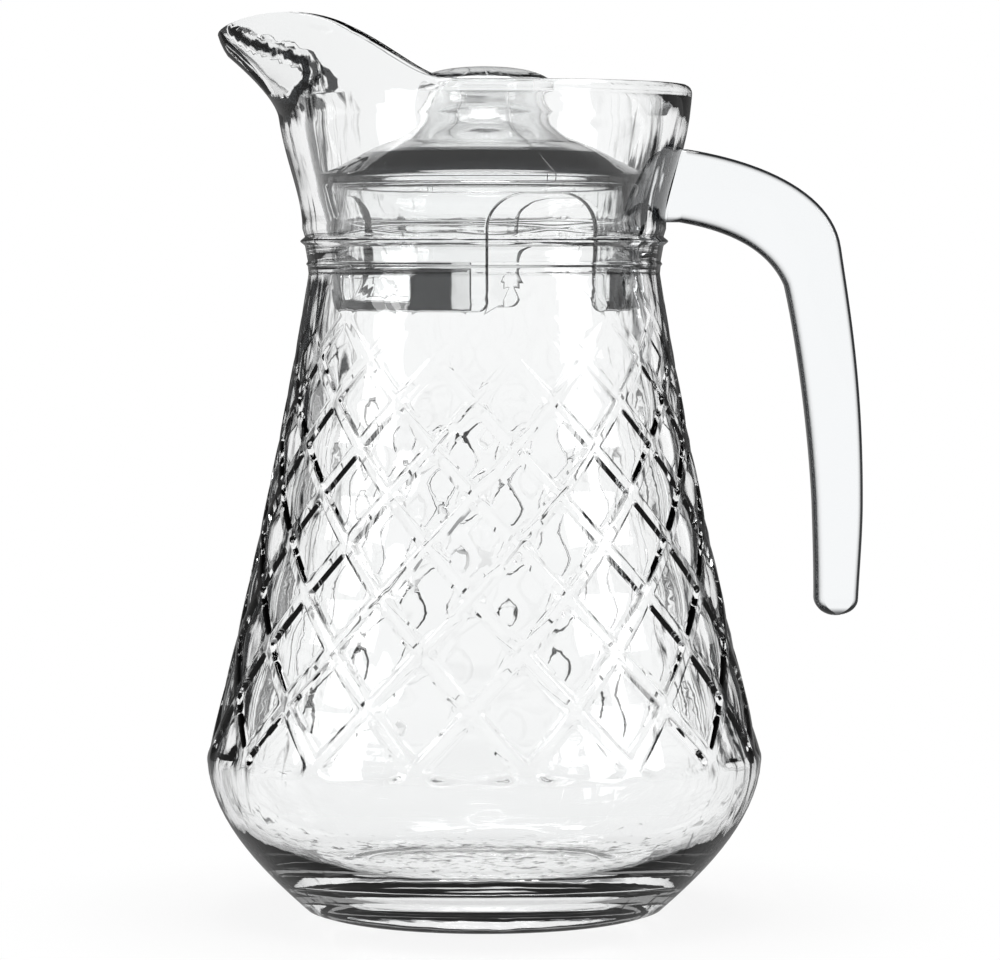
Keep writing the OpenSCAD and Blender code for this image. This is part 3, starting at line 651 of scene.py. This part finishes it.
def sharp_edges(bm, angle, radius):
    """Edges sharper than the angle that lie outside the radius."""
    return [e for e in bm.edges if e.calc_face_angle(0) > angle and all(v.co.xy.length > radius for v in e.verts)]


def bevelled(bm, edges, reach, steps):
    bmesh.ops.bevel(bm, geom=edges, offset=reach, segments=steps, profile=0.5, affect="EDGES", material=-1)


def pad_block(outside, inside, low, height, first, last, bevel, middle):
    """Solid between two radii over part of a leg: outside and inside give the radius at a share of the pad's width."""
    half = leg_angle / 2 - inset_angle
    ends = [mix(first, last, i / PAD_STEPS) for i in range(PAD_STEPS + 1)]
    line = [polar(outside(s), middle + mix(-half, half, s), low) for s in ends]
    line += [polar(inside(s), middle + mix(-half, half, s), low) for s in reversed(ends)]
    bm = bmesh.new()
    ring = bmesh.ops.create_circle(bm, segments=len(line), radius=SKIRT_R)
    for vert, place in zip(ring["verts"], line):
        vert.co = place
    face = bmesh.ops.contextual_create(bm, geom=bm.edges[:])["faces"][0]
    raised = bmesh.ops.extrude_face_region(bm, geom=[face])["geom"]
    verts = [v for v in raised if isinstance(v, bmesh.types.BMVert)]
    bmesh.ops.translate(bm, vec=(0, 0, height), verts=verts)
    bmesh.ops.recalc_face_normals(bm, faces=bm.faces)
    bevel(bm)
    return bm


def snap_pad(middle):
    """Snap pad: high part, ramp and low step, with soft outer edges and mesh lines beside its window."""
    def outside(share):
        return SKIRT_R + mix(PAD_STEP, PAD_PROUD, float(np.interp(share, *zip(*PAD_SHARES))))

    def soften(bm):
        bevelled(bm, sharp_edges(bm, PAD_SHARP, SKIRT_R + PAD_CLEAR), *PAD_ROUND)

    root = SKIRT_R - LID_WALL / 2
    bm = pad_block(outside, lambda share: root, LEG_Z + PAD_LIFT, PAD_H, 0, 1, soften, middle)
    for up in (-WINDOW_MARGIN, WINDOW_MARGIN, WINDOW_H - WINDOW_MARGIN, WINDOW_H + WINDOW_MARGIN):
        height = LEG_Z + PAD_LIFT + WINDOW_LOW + up
        geometry = bm.verts[:] + bm.edges[:] + bm.faces[:]
        bmesh.ops.bisect_plane(bm, geom=geometry, dist=1e-6, plane_co=(0, 0, height), plane_no=(0, 0, 1))
    return bm


def pad_window(middle):
    """Pocket in the back of a pad's high part, with round corners."""
    def soften(bm):
        radial = [e for e in bm.edges if abs(e.verts[0].co.z - e.verts[1].co.z) < 1e-6 and e.calc_length() > RADIAL_MIN]
        bevelled(bm, radial, *WINDOW_ROUND)
        bevelled(bm, sharp_edges(bm, POCKET_SHARP, SKIRT_R), *POCKET_ROUND)

    deep, front = SKIRT_R + PAD_PROUD - POCKET_WALL, SKIRT_R - LID_WALL - POCKET_CLEAR
    low = LEG_Z + PAD_LIFT + WINDOW_LOW
    return pad_block(lambda share: deep, lambda share: front, low, WINDOW_H, *WINDOW_SHARES, soften, middle)


def combined(piece, bm, operation):
    """Joins a solid to the piece or cuts it out."""
    other = linked("other", mesh_of("other", bm))
    modifier = piece.modifiers.new(operation, "BOOLEAN")
    modifier.operation, modifier.solver, modifier.object = operation, "EXACT", other
    bpy.context.view_layer.update()
    result = bpy.data.meshes.new_from_object(piece.evaluated_get(bpy.context.evaluated_depsgraph_get()))
    piece.modifiers.remove(modifier)
    piece.data = result
    bpy.data.objects.remove(other)


def lid_mesh():
    bm = lid_shell()
    bmesh.ops.remove_doubles(bm, verts=bm.verts, dist=0.001 * MM)
    bmesh.ops.recalc_face_normals(bm, faces=bm.faces)
    shell = linked("shell", mesh_of("shell", bm))
    for block, operation in ((snap_pad, "UNION"), (pad_window, "DIFFERENCE")):
        others = bmesh.new()
        for i in range(ARCH_COUNT):
            part_mesh = mesh_of("part", block(ARCH_TURN + (2 * i + 1) * sector))
            others.from_mesh(part_mesh)
            bpy.data.meshes.remove(part_mesh)
        combined(shell, others, operation)
    bm = bmesh.new()
    bm.from_mesh(shell.data)
    bpy.data.objects.remove(shell)
    return bm


# Materials. Their patterns are laid out in millimetres, and some are drawn out along the height
EVEN, DRAWN_WAVES, DRAWN_STREAKS = (1000, 1000, 1000), (1000, 1000, 160), (1000, 1000, 60)


def fill(tree, socket, value):
    """Sets an input to a number or colour, or links it to another node's output."""
    if isinstance(value, bpy.types.NodeSocket):
        tree.links.new(value, socket)
    else:
        socket.default_value = value


def fill_all(tree, node, values):
    """Sets a node's inputs by name or, written as i0, i1, by place."""
    for name, value in values.items():
        key = int(name[1:]) if name[0] == "i" and name[1:].isdigit() else name.replace("_", " ")
        fill(tree, node.inputs[key], value)
    return node


def add(tree, kind, operation=None, **values):
    node = tree.nodes.new("ShaderNode" + kind)
    if operation:
        node.operation = operation
    return fill_all(tree, node, values)


def maths(tree, operation, *values):
    return add(tree, "Math", operation, **{f"i{place}": value for place, value in enumerate(values)}).outputs[0]


def surface(name, **values):
    material = bpy.data.materials.new(name)
    material.use_nodes = True
    tree = material.node_tree
    return material, tree, fill_all(tree, tree.nodes["Principled BSDF"], values)


def fading(tree, value, start, end, low=0.0, high=1.0):
    """Smooth change from low to high while the value goes from start to end."""
    node = add(tree, "MapRange", Value=value, From_Min=start, From_Max=end, To_Min=low, To_Max=high)
    node.interpolation_type = "SMOOTHSTEP"
    return node.outputs[0]


def mixed(tree, share, first, second):
    """Colour that goes from the first to the second with the share."""
    node = add(tree, "Mix")
    node.data_type = "RGBA"
    for key, value in ((0, share), (6, first), (7, second)):
        fill(tree, node.inputs[key], value)
    return node.outputs[2]


def group(name, inputs, output):
    """An empty node group with named number inputs and one number output."""
    tree = bpy.data.node_groups.new(name, "ShaderNodeTree")
    for label, value in inputs.items():
        socket = tree.interface.new_socket(label, in_out="INPUT", socket_type="NodeSocketFloat")
        socket.default_value = value
    tree.interface.new_socket(output, in_out="OUTPUT", socket_type="NodeSocketFloat")
    return tree, tree.nodes.new("NodeGroupInput"), tree.nodes.new("NodeGroupOutput")


def placed_group(tree, group_tree, **values):
    node = tree.nodes.new("ShaderNodeGroup")
    node.node_tree = group_tree
    return fill_all(tree, node, values).outputs[0]


def noise_at(tree, stretch, width, **look):
    """Noise on the piece's own coordinates with features of about the given width in millimetres."""
    coords = add(tree, "TexCoord").outputs["Object"]
    place = add(tree, "VectorMath", "MULTIPLY", i0=coords, i1=stretch).outputs[0]
    scale = maths(tree, "DIVIDE", 1, width)
    return add(tree, "TexNoise", Vector=place, Scale=scale, **look).outputs[0]


def ripple_group():
    """Height of a fire-polished surface: long upright waves with a finer ripple, both in millimetres."""
    tree, given, out = group(
        "ripple", {"Wave width": 9, "Wave height": 0.05, "Ripple width": 2.5, "Ripple height": 0.006}, "Height"
    )
    heights = []
    for stretch, width, height in ((DRAWN_WAVES, "Wave width", "Wave height"), (EVEN, "Ripple width", "Ripple height")):
        noise = noise_at(tree, stretch, given.outputs[width], Detail=1.5, Roughness=0.4)
        heights.append(maths(tree, "MULTIPLY", noise, given.outputs[height]))
    tree.links.new(maths(tree, "MULTIPLY", maths(tree, "ADD", *heights), MM), out.inputs["Height"])
    return tree


def parting_group():
    """Fine line that the two halves of a mould leave: 1 in the upright plane at an angle, 0 beside it."""
    tree, given, out = group("parting_line", {"Angle": 0, "Width": 0.25}, "Line")
    coords = add(tree, "TexCoord").outputs["Object"]
    turned = add(tree, "VectorRotate", Vector=coords, Angle=maths(tree, "MULTIPLY", given.outputs["Angle"], -1))
    turned.rotation_type = "Z_AXIS"
    beside = add(tree, "SeparateXYZ", i0=turned.outputs[0]).outputs["Y"]
    distance = maths(tree, "ABSOLUTE", beside)
    half = maths(tree, "MULTIPLY", given.outputs["Width"], 0.5 * MM)
    tree.links.new(fading(tree, distance, 0.0, half, 1.0, 0.0), out.inputs["Line"])
    return tree


def streak_group():
    """Value between minus and plus one half that varies in upright streaks, used as streaks of painted shade on the
    pressed glass.
    """
    tree, given, out = group("streaks", {"Width": 6}, "Value")
    noise = noise_at(tree, DRAWN_STREAKS, given.outputs["Width"], Detail=2, Roughness=0.6, Distortion=0.6)
    tree.links.new(maths(tree, "SUBTRACT", noise, 0.5), out.inputs["Value"])
    return tree


ripple, parting_line, streaks = ripple_group(), parting_group(), streak_group()

# A clear surface lets the square root of its colour through, so these are squares
CLEAR_TINT, STRAP_TINT = (0.985, 0.99, 0.99), (0.955, 0.97, 0.98)
# Near-black colour of the painted shade that the clear materials darken towards
PAINTED_SHADE_TINT = (0.0006, 0.0007, 0.0008)
GLASS_IOR, PLASTIC_IOR = 1.52, 1.49
# How strongly the upright streaks of painted shade vary the pressed glass's darkening
STREAK_STRENGTH = 1.7
# The lid's parting line: width in millimetres, height of its relief, and how much painted shade darkens it
PARTING_W, PARTING_H, PARTING_SHADE = 0.4, 0.05 * MM, 0.45
# How far a painted value of 1 shifts the angle at which the clear materials' painted shade sets in, and the painted
# values between which a lip's shading goes from that of a thin one to its own
PAINTED_SHADE_LEAN, LIP_EDGE = 0.5, (-0.9, -0.6)


def clear_material(name, tint, ior, dark, relief, shade_marks=None, lip_tilt=1.0):
    """Clear glass or plastic with a fine relief and painted shade: darker where it is seen at a low angle and where
    `edge` is painted.

    Where `edge` is well below zero the round of a lip is shaded as a thin one, so that it stays clear."""
    material, tree, shader = surface(name, Transmission_Weight=1, IOR=ior, Roughness=0)
    facing = add(tree, "LayerWeight", Blend=0.5).outputs["Facing"]
    edge = add(tree, "Attribute")
    edge.attribute_name = "edge"
    painted = edge.outputs["Fac"]
    lean = maths(tree, "MULTIPLY_ADD", painted, PAINTED_SHADE_LEAN, facing)
    if shade_marks:
        lean = maths(tree, "ADD", lean, shade_marks(tree))
    # Painted shade: the colour goes toward the near-black tint as the painted value and the low seen angle grow
    colour = mixed(tree, fading(tree, lean, *dark), (*tint, 1), (*PAINTED_SHADE_TINT, 1))
    tree.links.new(colour, shader.inputs["Base Color"])
    keep = add(tree, "MapRange", Value=painted, From_Min=LIP_EDGE[0], From_Max=LIP_EDGE[1], To_Min=lip_tilt, To_Max=1.0)
    scale = add(tree, "CombineXYZ", X=1, Y=1, Z=keep.outputs[0]).outputs[0]
    normal = add(tree, "VectorMath", "MULTIPLY", i0=add(tree, "NewGeometry").outputs["Normal"], i1=scale).outputs[0]
    normal = add(tree, "VectorMath", "NORMALIZE", i0=normal).outputs[0]
    bump = add(tree, "Bump", Height=relief(tree), Strength=1.0, Distance=1.0, Normal=normal)
    tree.links.new(bump.outputs[0], shader.inputs["Normal"])
    return material


def body_relief(tree):
    return placed_group(tree, ripple, Wave_width=8, Wave_height=0.06, Ripple_width=4, Ripple_height=0.002)


# Upright streaks of painted shade on the pressed glass
def body_streak_shade(tree):
    return maths(tree, "MULTIPLY", placed_group(tree, streaks, Width=4), STREAK_STRENGTH)


def handle_relief(tree):
    return placed_group(tree, ripple, Wave_width=14, Wave_height=0.05, Ripple_width=4, Ripple_height=0.004)


def lid_relief(tree):
    waves = placed_group(tree, ripple, Wave_width=16, Wave_height=0.02, Ripple_width=3, Ripple_height=0.003)
    line = placed_group(tree, parting_line, Angle=ARCH_TURN, Width=PARTING_W)
    return maths(tree, "MULTIPLY_ADD", line, PARTING_H, waves)


# Painted shade along the lid's real parting line
def lid_parting_shade(tree):
    return maths(tree, "MULTIPLY", placed_group(tree, parting_line, Angle=ARCH_TURN, Width=PARTING_W), PARTING_SHADE)


# Painted values: above 0 a place gets painted shade, below 0 it is painted clearer. Painted shade along the fold of the
# drawn glass under the beak: how far beside the spout's middle plane it lies, in degrees that are measured at FOLD_R,
# and its height in millimetres
FOLD = ((9, 246), (12, 243), (20, 240.4), (28, 238.6), (34, 236.2), (34.5, 234), (33, 231), (27, 228), (24, 226))
FOLD_R, FOLD_STEPS = 62 * MM, 6
FOLD_SIDE, FOLD_LOW, FOLD_HIGH = 40 * DEG, 224 * MM, 247 * MM
FOLD_HALF_W, KEEL_HALF_W, FOLD_SHADE = 1.6 * MM, 2.5 * DEG, 1.2
# Two lines of painted shade under the beak: their heights and half widths
KNOT_LINES = ((222 * MM, 1.2 * MM), (226.5 * MM, 0.8 * MM))
KNOT_SIDE, KNOT_FADE, KNOT_SHADE = 26 * DEG, 6 * DEG, 1.2
# Bands: lowest and highest place, length of the soft start and of the soft end. Painted shade beside the handle's root,
# from clear above to dark below
ROOT_BAND, ROOT_TURN_Z, ROOT_TURN_FADE = (NECK_Z, 228 * MM, 4 * MM, 2 * MM), 219 * MM, 7 * MM
ROOT_SIDE, SIDE_FADE, ROOT_SHADES = 140 * DEG, 22 * DEG, (-0.5, 0.6)
# Rim and bowl painted clearer: heights where that starts, its soft ends, and how much clearer the bowl is
RIM_CLEAR_Z, RIM_FADE = 227.5 * MM, 1.5 * MM
BOWL_TOP, BOWL_FADE, BOWL_SHADE = LATTICE_FOOT_Z + 2 * MM, 6 * MM, 0.5
# Painted shade above the middle of the upper ring, and beside the throat's ledge
RING_LINE, RING_SHADE = (0.3 * MM, 0.9 * MM), 1.3
LEDGE_LINE_R, LEDGE_LINE_HALF_H, LEDGE_SHADE = THROAT_R + THROAT_LEDGE * 1.5, 0.75 * MM, 0.6
# The neck's wall, painted clearer on its outside and with a little painted shade on its inside, and how thick those
# skins are
SKIN_BAND, BORE_BAND = (176 * MM, 222 * MM, 3 * MM, 3 * MM), (191 * MM, 222 * MM, 2 * MM, 3 * MM)
SKIN_T, BORE_T, WALL_FADE, SKIN_SIDE = 2 * MM, 1 * MM, 0.5 * MM, 150 * DEG
SKIN_SHADE, BORE_SHADE = 0.55, 0.2
NEAR_REACH = 1.6

fold_points = []
for fold_start, fold_end in zip(FOLD, FOLD[1:]):
    for i in range(FOLD_STEPS):
        degrees, height = Vector(fold_start).lerp(Vector(fold_end), i / FOLD_STEPS)
        fold_points.append((degrees * DEG * FOLD_R, height * MM))
fold_line = np.array(fold_points)


def near(value, middle, half):
    """1 round the middle, falling smoothly to 0 at NEAR_REACH times half the width from it."""
    return ease(NEAR_REACH - abs(value - middle) / half)


def band(value, low, high, fade_in, fade_out):
    """1 from low to high but for a soft start and end, 0 elsewhere."""
    return ease((value - low) / fade_in) * ease((high - value) / fade_out)


def pitcher_shade(at):
    """Painted shade on fold and knot of the beak, handle's root, ring, ledge and bore; painted clearer on rim, bowl and
    neck's outside.
    """
    side = abs(from_spout(math.atan2(at.y, at.x)))
    radius = at.xy.length
    fold = 0
    if side < FOLD_SIDE and FOLD_LOW < at.z < FOLD_HIGH:
        away = float(np.hypot(*(fold_line - (side * FOLD_R, at.z)).T).min())
        fold = max(near(away, 0, FOLD_HALF_W), near(side, 0, KEEL_HALF_W))
    knot = sum(near(at.z, z, half) for z, half in KNOT_LINES) * ease((KNOT_SIDE - side) / KNOT_FADE)
    root = mix(*ROOT_SHADES, ease((ROOT_TURN_Z - at.z) / ROOT_TURN_FADE))
    root *= ease((side - ROOT_SIDE) / SIDE_FADE) * band(at.z, *ROOT_BAND)
    rim = (1 - fold) * ease((at.z - RIM_CLEAR_Z) / RIM_FADE)
    bowl = ease((BOWL_TOP - at.z) / BOWL_FADE)
    ring = radius > NECK_R and RING_LINE[0] < at.z - TOP_RING[0] < RING_LINE[1]
    ledge = radius < LEDGE_LINE_R and abs(at.z - THROAT_TOP) < LEDGE_LINE_HALF_H
    bore_r = max(THROAT_R, neck_inner_radius(at.z))
    bore = ease((bore_r + BORE_T - radius) / WALL_FADE) * band(at.z, *BORE_BAND)
    skin = ease((radius - bore_r - SKIN_T) / WALL_FADE) * band(at.z, *SKIN_BAND)
    skin *= (not ring) * ease((SKIN_SIDE - side) / SIDE_FADE)
    dark = FOLD_SHADE * fold + KNOT_SHADE * knot + root + RING_SHADE * ring + LEDGE_SHADE * ledge + BORE_SHADE * bore
    return dark - rim - BOWL_SHADE * bowl - SKIN_SHADE * skin


# Knob: height of its top band, width and soft start of the painted shade on its edge there, and how far down the rest
# is painted clear
KNOB_TOP_H, KNOB_RIM_W, KNOB_RIM_FADE, KNOB_NECK_H, KNOB_SHADES = 0.5 * MM, 4 * MM, 2 * MM, 5 * MM, (-1.2, 0.7)
# Painted shade in a band at the dome's foot and on the flange; the flange's foot is painted clearer
DOME_BAND, DOME_SHADES = (207 * MM, 214.4 * MM, 0.5 * MM, 1.2 * MM), (-0.3, 1.6)
FLANGE_DEPTH, FLANGE_W, FLANGE_FOOT_H = 0.2 * MM, 1.5 * MM, 0.3 * MM
FLANGE_SHADE, FLANGE_FOOT_SHADE = 1.0, -0.5
# Cut edges of the skirt, which get painted shade: how far from its two faces they start
ARCH_MARGIN, ARCH_SHADE = 0.05 * MM, 0.8
# Painted shade of pads in front of the upright middle plane and behind it, its share on their low step, and where it
# changes
PAD_SHADES, STEP_SHADE, STEP_SHARE, STEP_TURN, STEP_FADE = (2.2, 0.7), 0.65, 0.68, 0.9, 0.03


def lid_shade(at):
    """Painted shade on the dome's foot, flange, knob's edge, legs' edges and pads round their windows; the knob's rest
    is painted clearer.
    """
    radius = at.xy.length
    if at.z > KNOB_Z + KNOB_H - KNOB_TOP_H:
        return mix(*KNOB_SHADES, ease((radius - KNOB_R + KNOB_RIM_W) / KNOB_RIM_FADE))
    if at.z > KNOB_Z - KNOB_NECK_H:
        return KNOB_SHADES[0]
    if at.z > FLANGE_Z - FLANGE_DEPTH:
        if radius < FLANGE_R - FLANGE_W:
            return mix(*DOME_SHADES, band(at.z, *DOME_BAND))
        return FLANGE_SHADE if at.z > FLANGE_Z + FLANGE_FOOT_H else FLANGE_FOOT_SHADE
    if SKIRT_R - LID_WALL + ARCH_MARGIN < radius < SKIRT_R - ARCH_MARGIN:
        return ARCH_SHADE
    if radius > SKIRT_R + PAD_CLEAR:
        dark = PAD_SHADES[0] if at.y < 0 else PAD_SHADES[1]
        around = math.remainder(math.atan2(at.y, at.x) - ARCH_TURN - sector, 2 * sector)
        share = around / (leg_angle - 2 * inset_angle) + 0.5
        if share > STEP_SHARE:
            return dark * mix(STEP_SHADE, 1, ease((STEP_TURN - share) / STEP_FADE))
        up = at.z - LEG_Z - PAD_LIFT - WINDOW_LOW
        return 0 if WINDOW_SHARES[0] < share < WINDOW_SHARES[1] and 0 < up < WINDOW_H else dark
    return 0


# Clear materials, each with the range of the seen angle over which its painted shade sets in
glass = clear_material("pressed_glass", CLEAR_TINT, GLASS_IOR, (0.46, 0.78), body_relief, body_streak_shade, 0.12)
strap_glass = clear_material("drawn_glass", STRAP_TINT, GLASS_IOR, (0.5, 0.82), handle_relief)
plastic = clear_material("clear_plastic", CLEAR_TINT, PLASTIC_IOR, (0.58, 0.92), lid_relief, lid_parting_shade)

pitcher = finished("pitcher_glass", pitcher_mesh(), glass, "pitcher", pitcher_shade)
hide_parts("glass_body")
handle = finished("handle_glass", handle_mesh(), strap_glass, "pitcher")
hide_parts("handle")
lid = finished("lid_plastic", lid_mesh(), plastic, "lid", lid_shade)
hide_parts("lid")


def mirror_rays(tree, path):
    """1 for rays that a surface throws back, 0 for those that pass through it."""
    return maths(tree, "GREATER_THAN", path.outputs["Is Glossy Ray"], path.outputs["Is Transmission Ray"])


# Floor: plain white where it is far from the pitcher, and near it partly lit, so that it holds the shadow
FLOOR_HALF, FLOOR_COLOUR, FLOOR_ROUGHNESS = 6, (0.92, 0.92, 0.92, 1), 0.12
FLOOR_NEAR, FLOOR_FAR, FLOOR_GLOW_NEAR = 0.055, 0.15, 0.88
# How much less of the floor's glow and of the world is seen in a mirrored ray
FLOOR_REFLECTED_DIM, REFLECTED_DIM = 0.75, 0.88
floor_bm = bmesh.new()
bmesh.ops.create_grid(floor_bm, x_segments=1, y_segments=1, size=FLOOR_HALF)
floor = linked("floor", mesh_of("floor", floor_bm))
floor_material, tree, shader = surface("pale_floor", Base_Color=FLOOR_COLOUR, Roughness=FLOOR_ROUGHNESS)
distance = add(tree, "VectorMath", "LENGTH", i0=add(tree, "TexCoord").outputs["Object"]).outputs["Value"]
glow_share = fading(tree, distance, FLOOR_NEAR, FLOOR_FAR, FLOOR_GLOW_NEAR, 1.0)
path = add(tree, "LightPath")
seen = maths(tree, "MAXIMUM", path.outputs["Is Camera Ray"], path.outputs["Is Transmission Ray"])
seen = maths(tree, "MAXIMUM", seen, path.outputs["Is Glossy Ray"])
part = maths(tree, "MULTIPLY", seen, glow_share)
strength = maths(tree, "MULTIPLY_ADD", mirror_rays(tree, path), -FLOOR_REFLECTED_DIM, 1)
glow = add(tree, "Emission", Color=(1, 1, 1, 1), Strength=strength)
blend = add(tree, "MixShader", i0=part, i1=shader.outputs[0], i2=glow.outputs[0])
tree.links.new(blend.outputs[0], tree.nodes["Material Output"].inputs["Surface"])
floor.data.materials.append(floor_material)

# World: a white band round the horizon that darkens overhead, and white behind whatever the camera sees directly
WORLD_WHITE, WORLD_DARK, OVERHEAD = 0.34, 0.6, (0.2, 0.2, 0.205, 1)
world = bpy.data.worlds.new("studio")
bpy.context.scene.world = world
world.use_nodes = True
tree = world.node_tree
direction = add(tree, "TexCoord").outputs["Generated"]
ramp = add(tree, "ValToRGB", i0=add(tree, "SeparateXYZ", i0=direction).outputs["Z"])
for stop, place, colour in zip(ramp.color_ramp.elements, (WORLD_WHITE, WORLD_DARK), ((1, 1, 1, 1), OVERHEAD)):
    stop.position, stop.color = place, colour
path = add(tree, "LightPath")
dimmed = maths(tree, "MULTIPLY", mirror_rays(tree, path), REFLECTED_DIM)
colour = mixed(tree, dimmed, ramp.outputs["Color"], (0, 0, 0, 1))
colour = mixed(tree, path.outputs["Is Camera Ray"], colour, (1, 1, 1, 1))
tree.links.new(colour, tree.nodes["Background"].inputs["Color"])

# Lamps: place, size in metres and power in watts
LAMP_AIM = Vector((0, 0, 0.12))
for name, place, size, power in (
    ("left_softbox", (-1.3, -0.6, 0.9), 0.7, 8),
    ("right_softbox", (1.3, -0.7, 0.8), 0.6, 6),
    ("top_softbox", (0, 0.2, 1.5), 0.8, 16),
):
    light = bpy.data.lights.new(name, "AREA")
    light.size, light.energy = size, power
    lamp = linked(name, light)
    lamp.location = place
    lamp.rotation_euler = (LAMP_AIM - Vector(place)).to_track_quat("-Z", "Y").to_euler()

# Camera: focal length and picture width in pixels
CAMERA_PLACE, CAMERA_TILT = (4.4 * MM, -1.275, 188 * MM), 87 * DEG
SENSOR, FOCAL, PICTURE_W = 36, 4554, 1000
camera_data = bpy.data.cameras.new("camera")
camera_data.sensor_width = SENSOR
camera_data.lens = SENSOR * FOCAL / PICTURE_W
camera = linked("camera", camera_data)
camera.location = CAMERA_PLACE
camera.rotation_euler = (CAMERA_TILT, 0, 0)
bpy.context.scene.camera = camera
bpy.context.scene.view_settings.view_transform = "Standard"
